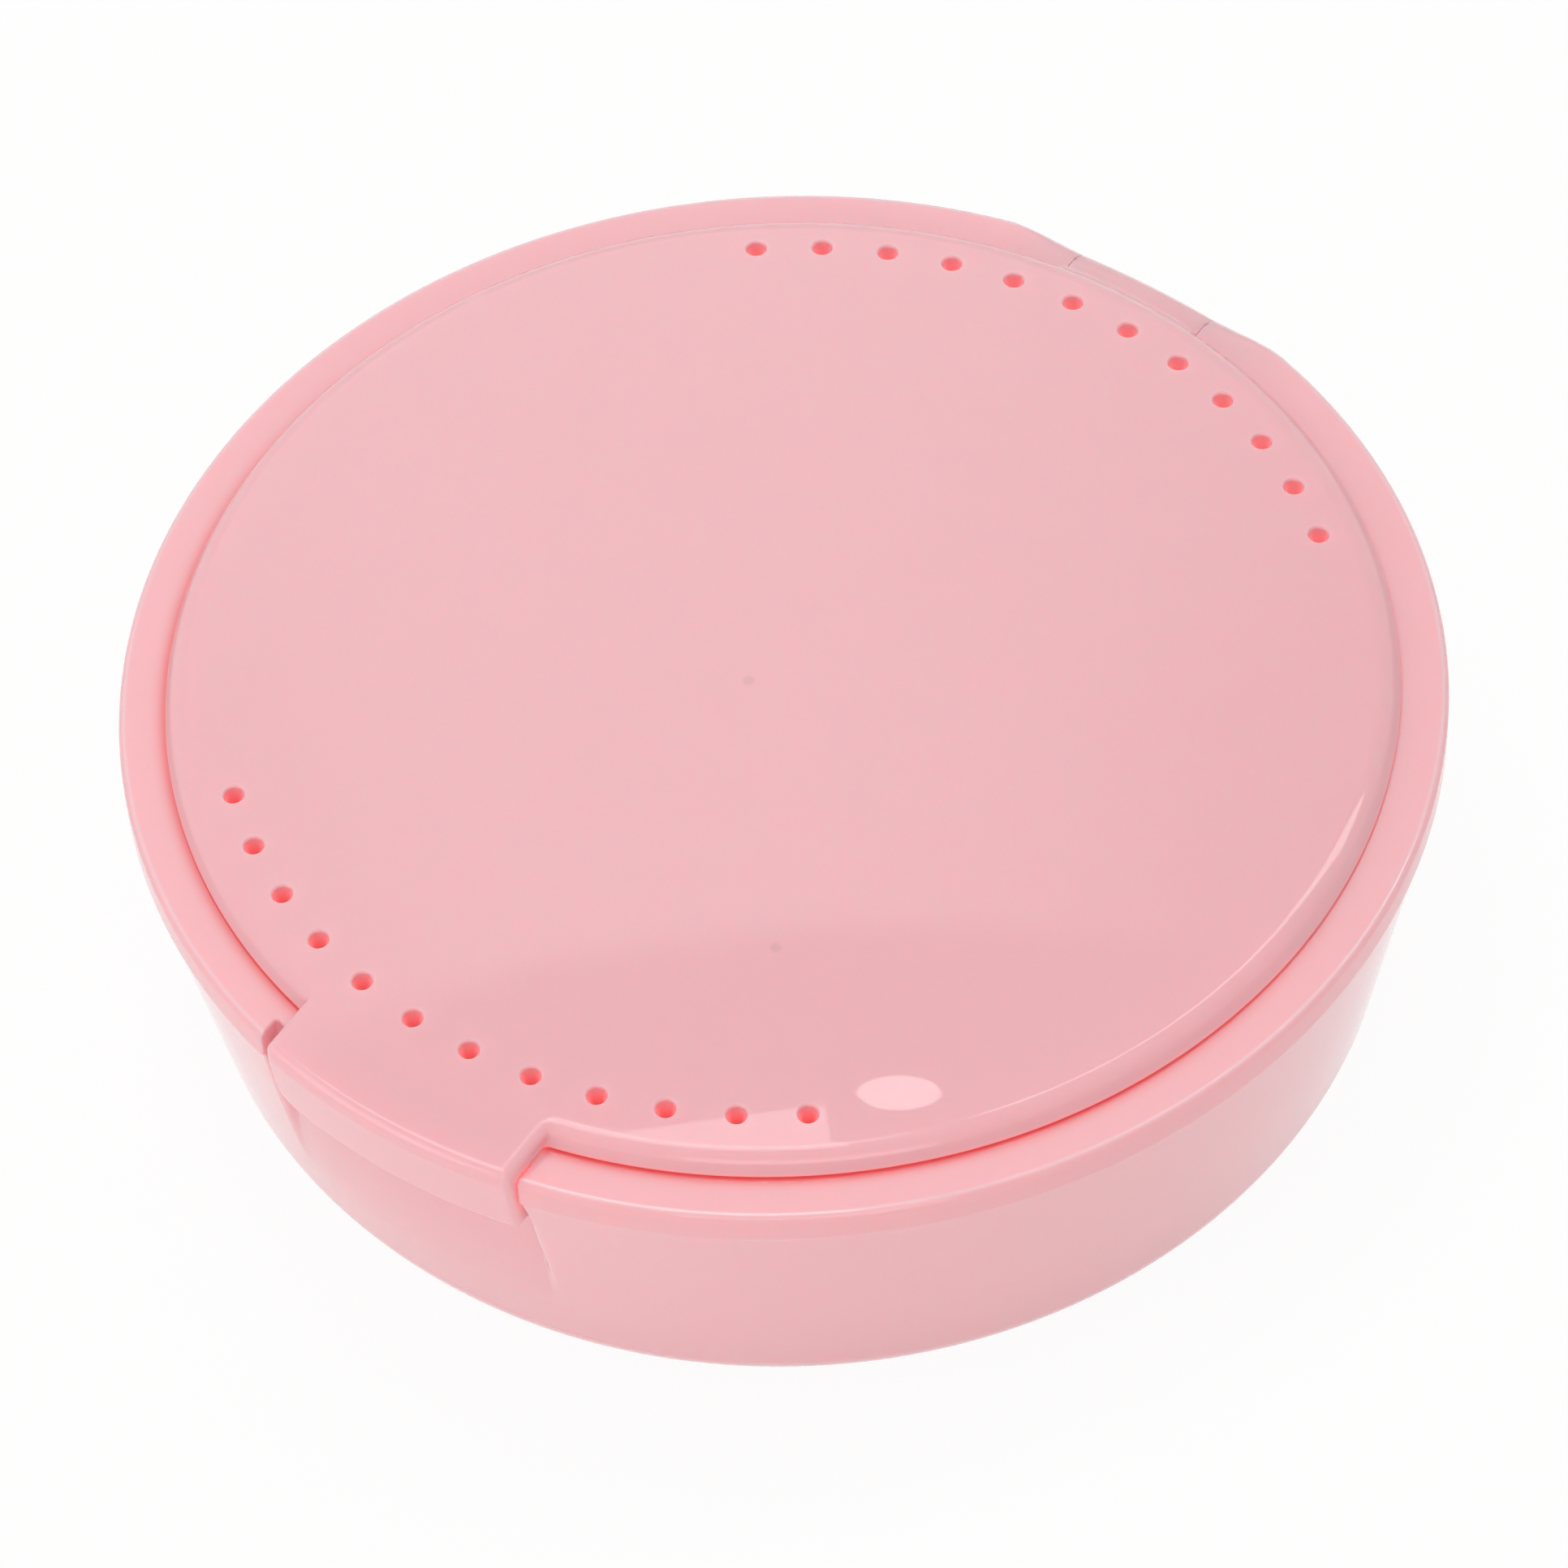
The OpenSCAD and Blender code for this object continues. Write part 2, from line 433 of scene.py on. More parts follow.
def mark(mesh: bpy.types.Mesh, name: str, value: Solid) -> None:
    """Stores a value on each point of a mesh.

    Args:
        mesh: The mesh, in metres.
        name: Name of the value.
        value: Gives the value at places in millimetres.
    """
    places = rows_of(mesh.vertices, "co", 3).astype(float) / MM
    layer = mesh.attributes.new(name, "FLOAT", "POINT")
    layer.data.foreach_set("value", value(*places.T).astype(np.float32))


def show(name: str, mesh: bpy.types.Mesh) -> bpy.types.Object:
    """Puts a mesh into the scene as an object at the origin."""
    piece = bpy.data.objects.new(name, mesh)
    bpy.context.scene.collection.objects.link(piece)
    return piece


def box_mm(node: str) -> tuple[Array, Array]:
    """Gives the lowest and highest corner of a node of the frame in millimetres."""
    low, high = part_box(node)
    return np.array(low) / MM, np.array(high) / MM


# Node graphs


class Wire:
    """A socket of a node graph that can be used in sums, as a number can."""

    def __init__(self, graph: "Graph", socket: bpy.types.NodeSocket) -> None:
        """Keeps the graph and the socket."""
        self.graph = graph
        self.socket = socket

    def __add__(self, other: Any) -> "Wire":
        """Adds a number or a wire."""
        return self.graph.sum("ADD", self, other)

    def __sub__(self, other: Any) -> "Wire":
        """Takes away a number or a wire."""
        return self.graph.sum("SUBTRACT", self, other)

    def __rsub__(self, other: Any) -> "Wire":
        """Takes this wire away from a number."""
        return self.graph.sum("SUBTRACT", other, self)

    def __mul__(self, other: Any) -> "Wire":
        """Multiplies by a number or a wire."""
        return self.graph.sum("MULTIPLY", self, other)

    def __truediv__(self, other: Any) -> "Wire":
        """Divides by a number or a wire."""
        return self.graph.sum("DIVIDE", self, other)

    def __rtruediv__(self, other: Any) -> "Wire":
        """Divides a number by this wire."""
        return self.graph.sum("DIVIDE", other, self)

    __radd__ = __add__
    __rmul__ = __mul__


class Graph:
    """A node graph, for a material or for Geometry Nodes, filled by short calls."""

    def __init__(self, tree: bpy.types.NodeTree) -> None:
        """Keeps the tree and empties it."""
        self.tree = tree
        self.tree.nodes.clear()

    def node(
        self,
        kind: str,
        settings: dict[str, Any] | None = None,
        feeds: dict[str | int, Any] | None = None,
    ) -> bpy.types.Node:
        """Adds a node.

        Args:
            kind: Blender's type name of the node.
            settings: Properties of the node, set first.
            feeds: Value or wire of each input socket, by name or number.

        Returns:
            The node.
        """
        node = self.tree.nodes.new(kind)
        for key, value in (settings or {}).items():
            setattr(node, key, value)
        for key, value in (feeds or {}).items():
            socket = node.inputs[key]
            if isinstance(value, Wire):
                self.tree.links.new(value.socket, socket)
            else:
                socket.default_value = value
        return node

    def wire(
        self,
        kind: str,
        settings: dict[str, Any] | None = None,
        feeds: dict[str | int, Any] | None = None,
        output: str | int = 0,
    ) -> Wire:
        """Adds a node and gives one of its outputs.

        Args:
            kind: Blender's type name of the node.
            settings: Properties of the node, set first.
            feeds: Value or wire of each input socket, by name or number.
            output: Name or number of the output.

        Returns:
            The output as a wire.
        """
        return Wire(self, self.node(kind, settings, feeds).outputs[output])

    def sum(self, operation: str, *values: Any) -> Wire:
        """Adds a Math node on numbers and wires."""
        return self.wire("ShaderNodeMath", {"operation": operation}, dict(enumerate(values)))

    def rise(self, angle: Wire, limits: tuple[float, float]) -> Wire:
        """Goes softly from 0 at the first limit of an angle to 1 at the second, both in degrees."""
        first, second = (math.radians(limit) for limit in limits)
        feeds = {"Value": angle, "From Min": first, "From Max": second}
        return self.wire("ShaderNodeMapRange", {"interpolation_type": "SMOOTHSTEP"}, feeds)

    def blend(self, share: Any, first: Any, second: Any) -> Wire:
        """Mixes two colours by a share from 0 to 1."""
        return self.wire("ShaderNodeMix", {"data_type": "RGBA"}, {0: share, 6: first, 7: second}, 2)


def opaque(colour: Colour, brightness: float = 1.0) -> tuple[float, float, float, float]:
    """Gives a colour times a brightness, with full alpha."""
    return (colour[0] * brightness, colour[1] * brightness, colour[2] * brightness, 1.0)


# Finishes


@dataclass(frozen=True)
class Speck:
    """A small mark in the surface of a moulding.

    Attributes:
        place: Centre in millimetres.
        radius: Radius in millimetres.
        colour: Colour at its centre.
        strength: How much of its colour shows.
        core: Share of the radius over which it is at full strength.
    """

    place: tuple[float, float, float]
    radius: float
    colour: Colour = (0.45, 0.3, 0.32)
    strength: float = 0.2
    core: float = 0.4


@dataclass(frozen=True)
class MouldedPlastic:
    """Glossy, slightly translucent moulded plastic.

    Attributes:
        name: Name of the material.
        colour: Colour of the plastic.
        specks: Small marks in it.
        mottle: How much the colour wanders, as a share of it.
        mottle_size: Width of the colour's blotches in millimetres.
        gloss_low: Roughness of its smoothest places.
        gloss_high: Roughness of its dullest places.
        gloss_size: Width of the dull and smooth places in millimetres.
        waviness: Height of the slow waves that the mould leaves, in millimetres.
        wave_size: Width of these waves.
        grain: Height of the fine grain, in millimetres.
        grain_size: Width of the grain.
        bleed: How far red, green and blue light spreads inside, in millimetres.
        deep: Deep red painted into the colour and the glow, standing in for shade and for light through the
            plastic.
        pale: Pale colour of painted highlights and painted light, on a thin edge and in holes.
        glow: How brightly the painted glow comes out where the moulding marks it.
        refraction: Index of refraction.
    """

    name: str
    colour: Colour
    specks: tuple[Speck, ...] = ()
    mottle: float = 0.015
    mottle_size: float = 18.0
    gloss_low: float = 0.008
    gloss_high: float = 0.02
    gloss_size: float = 4.0
    waviness: float = 0.0015
    wave_size: float = 7.0
    grain: float = 0.0001
    grain_size: float = 0.25
    bleed: tuple[float, float, float] = (1.6, 0.65, 0.6)
    deep: Colour = (0.95, 0.12, 0.12)
    pale: Colour = (0.98, 0.8, 0.83)
    glow: float = 0.55
    refraction: float = 1.49

    def make(self) -> bpy.types.Material:
        """Makes the material.

        Returns:
            The material, ready for a mesh.
        """
        material = bpy.data.materials.new(self.name)
        material.use_nodes = True
        graph = Graph(material.node_tree)
        place = graph.wire("ShaderNodeTexCoord", output="Object")
        cloud = self._noise(graph, place, self.mottle_size, 3.0)
        dark, light = (opaque(self.colour, 1.0 + side * self.mottle) for side in (-1, 1))
        colour = graph.blend(cloud, dark, light)
        for speck in self.specks:
            colour = self._marked(graph, place, colour, speck)
        # Painted shade, highlight and glow: stored values turn the colour deep red or pale and make it give
        # off red light
        edge = graph.wire("ShaderNodeAttribute", {"attribute_name": PAINTED_GLOW}, output="Fac")
        tint = graph.wire("ShaderNodeAttribute", {"attribute_name": PAINTED_TINT}, output="Fac")
        colour = graph.blend(graph.sum("MAXIMUM", edge, tint), colour, opaque(self.deep))
        colour = graph.blend(0.0 - tint, colour, opaque(self.pale))
        glow = graph.blend(edge, opaque(self.deep, 0.0), colour)
        smear = self._noise(graph, place, self.gloss_size, 4.0)
        roughness = self.gloss_low + smear * (self.gloss_high - self.gloss_low)
        waves = self._noise(graph, place, self.wave_size, 1.0)
        grain = self._noise(graph, place, self.grain_size, 2.0)
        height = waves * (self.waviness * MM) + grain * (self.grain * MM)
        normal = graph.wire("ShaderNodeBump", feeds={"Strength": 1.0, "Distance": 1.0, "Height": height})
        shader = graph.wire(
            "ShaderNodeBsdfPrincipled",
            {"subsurface_method": "RANDOM_WALK"},
            {
                "Base Color": colour,
                "Roughness": roughness,
                "Normal": normal,
                "IOR": self.refraction,
                "Subsurface Weight": 1.0,
                "Subsurface Radius": self.bleed,
                "Subsurface Scale": MM,
                "Emission Color": glow,
                "Emission Strength": self.glow,
            },
        )
        graph.node("ShaderNodeOutputMaterial", feeds={"Surface": shader})
        return material

    @staticmethod
    def _noise(graph: Graph, place: Wire, size: float, detail: float) -> Wire:
        """Adds a soft random pattern.

        Args:
            graph: Graph of the material.
            place: Where the pattern is read.
            size: Width of its blotches in millimetres.
            detail: Number of finer layers in it.

        Returns:
            The pattern, from 0 to 1.
        """
        feeds = {"Vector": place, "Scale": 1.0 / (size * MM), "Detail": detail}
        return graph.wire("ShaderNodeTexNoise", feeds=feeds)

    @staticmethod
    def _marked(graph: Graph, place: Wire, colour: Wire, speck: Speck) -> Wire:
        """Lays a speck over a colour.

        Args:
            graph: Graph of the material.
            place: Where the colour is read.
            colour: Colour under the speck.
            speck: The speck.

        Returns:
            The colour with the speck on it.
        """
        centre = tuple(value * MM for value in speck.place)
        feeds = {0: place, 1: centre}
        away = graph.wire("ShaderNodeVectorMath", {"operation": "DISTANCE"}, feeds, "Value")
        limits = {
            "Value": away,
            "From Min": speck.radius * MM * speck.core,
            "From Max": speck.radius * MM,
            "To Min": speck.strength,
            "To Max": 0.0,
        }
        share = graph.wire("ShaderNodeMapRange", {"interpolation_type": "SMOOTHSTEP"}, limits)
        return graph.blend(share, colour, opaque(speck.colour))


@dataclass(frozen=True)
class DrawnSteel:
    """Bright steel wire with fine lines along it.

    Attributes:
        name: Name of the material.
        colour: Colour of the steel.
        streak: Width of the drawing lines in millimetres.
        stretch: Width of a line as a share of its length.
        shade: Brightness of the colour in the lines.
        relief: Height of the lines in millimetres.
        gloss_low: Roughness of its smoothest places.
        gloss_spread: How much rougher its dullest places are.
    """

    name: str
    colour: Colour = (0.72, 0.72, 0.73)
    streak: float = 0.08
    stretch: float = 0.02
    shade: float = 0.8
    relief: float = 0.001
    gloss_low: float = 0.2
    gloss_spread: float = 0.2

    def make(self) -> bpy.types.Material:
        """Makes the material.

        Returns:
            The material, ready for a mesh.
        """
        material = bpy.data.materials.new(self.name)
        material.use_nodes = True
        graph = Graph(material.node_tree)
        place = graph.wire("ShaderNodeTexCoord", output="Object")
        along = graph.wire("ShaderNodeMapping", feeds={"Vector": place, "Scale": (self.stretch, 1.0, 1.0)})
        feeds = {"Vector": along, "Scale": 1.0 / (self.streak * MM), "Detail": 3.0}
        lines = graph.wire("ShaderNodeTexNoise", feeds=feeds)
        colour = graph.blend(lines, opaque(self.colour, self.shade), opaque(self.colour))
        normal = graph.wire("ShaderNodeBump", feeds={"Distance": 1.0, "Height": lines * (self.relief * MM)})
        roughness = self.gloss_low + lines * self.gloss_spread
        feeds = {"Base Color": colour, "Roughness": roughness, "Metallic": 1.0, "Normal": normal}
        shader = graph.wire("ShaderNodeBsdfPrincipled", feeds=feeds)
        graph.node("ShaderNodeOutputMaterial", feeds={"Surface": shader})
        return material


# Shared places


@dataclass(frozen=True)
class HingePlaces:
    """Sizes that the tray and the lid share at the back, in millimetres.

    Attributes:
        axis_y: Place of the hinge axis along Y.
        axis_z: Height of the hinge axis.
        barrel_r: Radius of the rolled-over ears and of the knuckle.
        pin_r: Radius of the pin.
        pin_half: Half the pin's length.
        knuckle_half: Half the knuckle's width.
        ear_w: Width of an ear.
        side_gap: Gap between the knuckle and an ear.
        room: Room round the turning knuckle.
    """

    axis_y: float
    axis_z: float
    barrel_r: float
    pin_r: float
    pin_half: float
    knuckle_half: float = 4.8
    ear_w: float = 3.4
    side_gap: float = 0.15
    room: float = 0.3

    @classmethod
    def from_frame(cls) -> "HingePlaces":
        """Reads the axis from the joint, and the barrel and the pin from their boxes.

        Returns:
            The places.
        """
        axis = np.array(frame["joints"][0]["pos_m"]) / MM
        _, tray_high = box_mm("base_tray")
        pin_low, pin_high = box_mm("hinge_pin")
        return cls(
            axis_y=axis[1],
            axis_z=axis[2],
            barrel_r=tray_high[1] - axis[1],
            pin_r=(pin_high[2] - pin_low[2]) / 2,
            pin_half=pin_high[0],
        )

    @property
    def slot_half(self) -> float:
        """Half the width of the knuckle's slot in the tray."""
        return self.knuckle_half + self.side_gap

    @property
    def front_y(self) -> float:
        """Place of the barrel's front along Y."""
        return self.axis_y - self.barrel_r

    @property
    def back_y(self) -> float:
        """Place of the barrel's back along Y."""
        return self.axis_y + self.barrel_r

    @property
    def ears_half(self) -> float:
        """Half the width over both ears."""
        return self.slot_half + self.ear_w

    def from_axis(self, y: Array, z: Array) -> Array:
        """Gives the distance from the hinge axis."""
        return np.hypot(y - self.axis_y, z - self.axis_z)


@dataclass(frozen=True)
class ClaspPlaces:
    """Sizes that the tray and the lid share at the front, in millimetres.

    Attributes:
        out_r: Radius of the tab's outer face.
        low_z: Height of the tab's lower edge.
        tab_half: Half the tab's width.
        tab_shift: How far the tab sits to the right of the middle.
        tab_t: Thickness of the tab.
        recess_half: Half the recess's width.
        recess_shift: How far the recess sits to the right of the middle.
        back_gap: Gap behind the tab.
        catch_proud: How far the catch ridge stands out of the recess.
        catch_rise: Height of the catch ridge above the tab's lower edge.
        bead_rise: Height of the tab's bead above the tab's lower edge.
        bead_proud: How far the bead stands out of the tab.
        bead_inset: Distance from the ends of ridge and bead to the tab's sides.
    """

    out_r: float
    low_z: float
    tab_half: float = 8.72
    tab_shift: float = 0.42
    tab_t: float = 2.2
    recess_half: float = 9.35
    recess_shift: float = -0.18
    back_gap: float = 0.6
    catch_proud: float = 0.3
    catch_rise: float = 2.3
    bead_rise: float = 1.4
    bead_proud: float = 0.1
    bead_inset: float = 1.0

    @classmethod
    def from_frame(cls) -> "ClaspPlaces":
        """Reads the tab's reach from the lid's box.

        Returns:
            The places.
        """
        low, _ = box_mm("lid")
        return cls(out_r=-low[1], low_z=low[2])

    @property
    def in_r(self) -> float:
        """Radius of the tab's inner face."""
        return self.out_r - self.tab_t

    @property
    def recess_r(self) -> float:
        """Radius of the recess behind the tab."""
        return self.in_r - self.back_gap

    def bead(self, x: Array, y: Array, z: Array, r: float, rise: float, proud: float) -> Array:
        """Gives a round bead that runs across the front.

        Args:
            x: Places along X.
            y: Places along Y.
            z: Heights.
            r: Radius of the face that it stands on.
            rise: Its height above the tab's lower edge.
            proud: Its radius.

        Returns:
            Distance to the bead.
        """
        round_bar = np.hypot(np.hypot(x, y) - r, z - self.low_z - rise) - proud
        ends = np.maximum(np.abs(x - self.tab_shift) - (self.tab_half - self.bead_inset), y)
        return rounded_and(round_bar, ends, proud / 2)


# Sub-assemblies


@dataclass
class Tray:
    """The tapered tray with its rim, clasp recess and hinge ears, in millimetres.

    Attributes:
        hinge: Sizes that it shares with the lid at the back.
        clasp: Sizes that it shares with the lid at the front.
        finish: Its plastic.
        rim_r: Outer radius of the rim.
        height: Height of the rim's top.
        seam_r: Radius of the lid's edge on the rim.
        foot_inset: How far the wall leans in between the rim and the underside.
        foot_round: Radius of the edge round the underside.
        floor_t: Thickness of the floor.
        wall_t: Thickness of the wall at the floor.
        floor_round: Radius between the floor and the wall inside.
        rim_w: Width of the rim.
        band_h: Height of the rim's outer band.
        band_step: How far the band stands out from the wall.
        band_round: Radius of the band's lower edge and of the corner under it.
        rim_round: Radius of the rim's top edge.
        mouth_round: Radius of the mouth's edge.
        recess_corner: Radius of the recess's inner corners.
        recess_edge: Radius of the recess's edge at the band.
        recess_fade: Radius of that edge down at the tab's lower edge.
        pocket_fill: How much shallower the recess is behind the tab's root.
        pocket_rise: Height above the tab's lower edge from which it is shallower.
        slot_edge: Radius of the edge of the knuckle's slot.
        back_blend: How softly the flat back runs into the round rim.
        roll_lead: How far inside the ears' ends the rolled rim starts to ease off.
        roll_fade: How far beyond the ears' ends the rim is plain again.
        seam_painted_shade: How deep red the rim is painted at the lid's edge, as painted shade in the seam.
        seam_spread: How far out from the lid that red reaches.
        painted_edge_highlight: How pale the rim's outer edge is painted, as a painted highlight.
        pale_inset: Distance of the painted highlight's palest line from the rim's outer radius.
        gap_painted_glow: Painted glow beside the tab, standing in for light through the plastic.
        slot_painted_glow: Painted glow beside the knuckle.
    """

    hinge: HingePlaces
    clasp: ClaspPlaces
    finish: MouldedPlastic
    rim_r: float
    height: float
    seam_r: float
    foot_inset: float = 3.8
    foot_round: float = 3.0
    floor_t: float = 1.6
    wall_t: float = 1.7
    floor_round: float = 1.5
    rim_w: float = 3.8
    band_h: float = 2.15
    band_step: float = 0.15
    band_round: float = 0.1
    rim_round: float = 0.5
    mouth_round: float = 0.45
    recess_corner: float = 0.3
    recess_edge: float = 0.2
    recess_fade: float = 0.6
    pocket_fill: float = 0.5
    pocket_rise: float = 3.0
    slot_edge: float = 0.05
    back_blend: float = 0.15
    roll_lead: float = 1.8
    roll_fade: float = 1.9
    seam_painted_shade: float = 0.75
    seam_spread: float = 1.0
    painted_edge_highlight: float = 0.35
    pale_inset: float = 0.35
    gap_painted_glow: float = 0.35
    slot_painted_glow: float = 0.12

    def solid(self, x: Array, y: Array, z: Array) -> Array:
        """Gives the distance to the tray.

        Args:
            x: Places along X.
            y: Places along Y.
            z: Heights.

        Returns:
            Distance to its skin, negative inside.
        """
        r = np.hypot(x, y)
        tray = rounded_cut(self._outside(x, y, r, z), self._inside(r, z), self.mouth_round)
        low = ease(self.height - self.band_h, self.clasp.low_z, z)
        edge = self.recess_edge + (self.recess_fade - self.recess_edge) * low
        tray = rounded_cut(tray, self._clasp_recess(x, y, r, z), edge)
        ridge = self.clasp.bead(
            x, y, z, self.clasp.recess_r, self.clasp.catch_rise, self.clasp.catch_proud
        )
        tray = rounded_or(tray, ridge, self.clasp.catch_proud / 2)
        tray = rounded_cut(tray, self._knuckle_slot(x, y, z), self.slot_edge)
        bore = np.maximum(self.hinge.from_axis(y, z) - self.hinge.pin_r, -x - self.hinge.pin_half)
        return np.maximum(tray, -bore)

    def glow(self, x: Array, y: Array, z: Array) -> Array:
        """Gives how much painted glow comes out of the rim, in the gaps at tab and knuckle.

        Args:
            x: Places along X.
            y: Places along Y.
            z: Heights.

        Returns:
            Share of the painted glow, from 0 to 1.
        """
        r = np.hypot(x, y)
        # Painted glow in the gaps beside the tab and the knuckle, standing in for light through the plastic
        end = x - self.clasp.recess_shift - self.clasp.recess_half
        in_gap = ease(-0.5, -0.2, end) * ease(0.2, 0.04, end) * (y < 0.0)
        in_gap = in_gap * ease(self.rim_r, self.rim_r - 0.6, r)
        in_gap = in_gap * ease(self.clasp.low_z + 0.5, self.clasp.low_z + 2.0, z)
        slot = np.abs(np.abs(x) - self.hinge.slot_half)
        in_slot = ease(0.12, 0.02, slot) * (y > self.hinge.front_y) * (z > self.hinge.axis_z)
        return np.maximum(self.gap_painted_glow * in_gap, self.slot_painted_glow * in_slot)

    def tint(self, x: Array, y: Array, z: Array) -> Array:
        """Gives the deep red painted shade by the lid's edge, and the pale painted highlight along the rim's
        outer edge.

        Args:
            x: Places along X.
            y: Places along Y.
            z: Heights.

        Returns:
            Tint, from 1 for deep red painted shade to -1 for a pale painted highlight.
        """
        r = np.hypot(x, y)
        # Painted shade: deep red on the rim's top beside the lid, fading out towards the back. Painted
        # highlight: a pale line along the outer edge.
        on_top = ease(self.height - 0.6, self.height - 0.3, z)
        from_lid = np.clip((r - self.seam_r) / self.seam_spread, 0.0, 1.0)
        by_lid = ease(self.seam_r - 0.5, self.seam_r, r) * (1.0 - from_lid) ** 2 * ease(15.0, -25.0, y)
        from_edge = np.abs(r - self.rim_r + self.pale_inset)
        return (self.seam_painted_shade * by_lid - self.painted_edge_highlight * ease(0.16, 0.04, from_edge)) * on_top

    def _outside(self, x: Array, y: Array, r: Array, z: Array) -> Array:
        """Gives the outer form: leaning wall, rounded foot, band, and rim rolled over at the hinge."""
        foot_r = self.rim_r - self.foot_inset
        band_z = self.height - self.band_h
        slope = (self.foot_inset - self.band_step) / band_z
        wall = (r - foot_r - slope * np.minimum(z, band_z)) / math.hypot(1.0, slope)
        wall = rounded_and(wall, -z, self.foot_round)
        band = rounded_and(r - self.rim_r, band_z - z, self.band_round)
        back = y - self.hinge.back_y
        side = soft_and(rounded_or(wall, band, self.band_round), back, self.back_blend)
        beside = ease(self.hinge.ears_half - self.roll_lead, self.hinge.ears_half + self.roll_fade, np.abs(x))
        rolled = np.where(y > 0.0, 1.0 - beside, 0.0)
        edge = self.rim_round + (self.hinge.barrel_r - self.rim_round) * rolled
        return rounded_and(side, z - self.height, edge)

    def _inside(self, r: Array, z: Array) -> Array:
        """Gives the hollow, down to the floor."""
        foot_r = self.rim_r - self.foot_inset
        mouth_r = self.rim_r - self.rim_w
        low_r = foot_r - self.wall_t + 0.1 * self.floor_t
        slope = (mouth_r - low_r) / (self.height - self.floor_t)
        wall = (r - low_r - slope * (z - self.floor_t)) / math.hypot(1.0, slope)
        return rounded_and(wall, self.floor_t - z, self.floor_round)

    def _clasp_recess(self, x: Array, y: Array, r: Array, z: Array) -> Array:
        """Gives the room for the tab, shallow behind its root, which fades out down the leaning wall."""
        fill_z = self.clasp.low_z + self.pocket_rise
        shallow = self.pocket_fill * ease(fill_z - 0.25, fill_z + 0.25, z)
        back = self.clasp.recess_r + shallow - r
        sides = np.abs(x - self.clasp.recess_shift) - self.clasp.recess_half
        return np.maximum(rounded_and(sides, back, self.recess_corner), y)

    def _knuckle_slot(self, x: Array, y: Array, z: Array) -> Array:
        """Gives the room in the rim for the lid's knuckle."""
        reach = self.hinge.barrel_r + self.hinge.room
        front = self.hinge.axis_y - reach
        floor = self.hinge.axis_z - reach
        return np.maximum(np.abs(x) - self.hinge.slot_half, np.maximum(front - y, floor - z))

    def grid(self) -> PolarGrid:
        """Gives the grid on which the tray is traced, fine at the rim, the clasp and the hinge."""
        half_turn = turns_from_clasp(0.6)
        radii = steps_along((0, 30, 3.0), (30, 34, 0.6), (34, self.rim_r + 0.6, 0.17))
        heights = steps_along((-0.6, 3.6, 0.35), (3.6, 17, 1.2), (17, self.height + 0.6, 0.16))
        return PolarGrid(half_turn, radii, heights)

    def build(self) -> bpy.types.Object:
        """Makes the tray's mesh, dresses it and puts it in the frame.

        Returns:
            The tray.
        """
        mesh = moulding_mesh("tray_moulding", *self.grid().trace(self.solid))
        shade_as_solid(mesh, self.solid)
        # Painted glow, painted shade and painted highlight, stored on the points for the plastic
        mark(mesh, PAINTED_GLOW, self.glow)
        mark(mesh, PAINTED_TINT, self.tint)
        mesh.materials.append(self.finish.make())
        piece = show("tray_moulding", mesh)
        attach(piece, Body.TRAY.value)
        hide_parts("base_tray")
        return piece


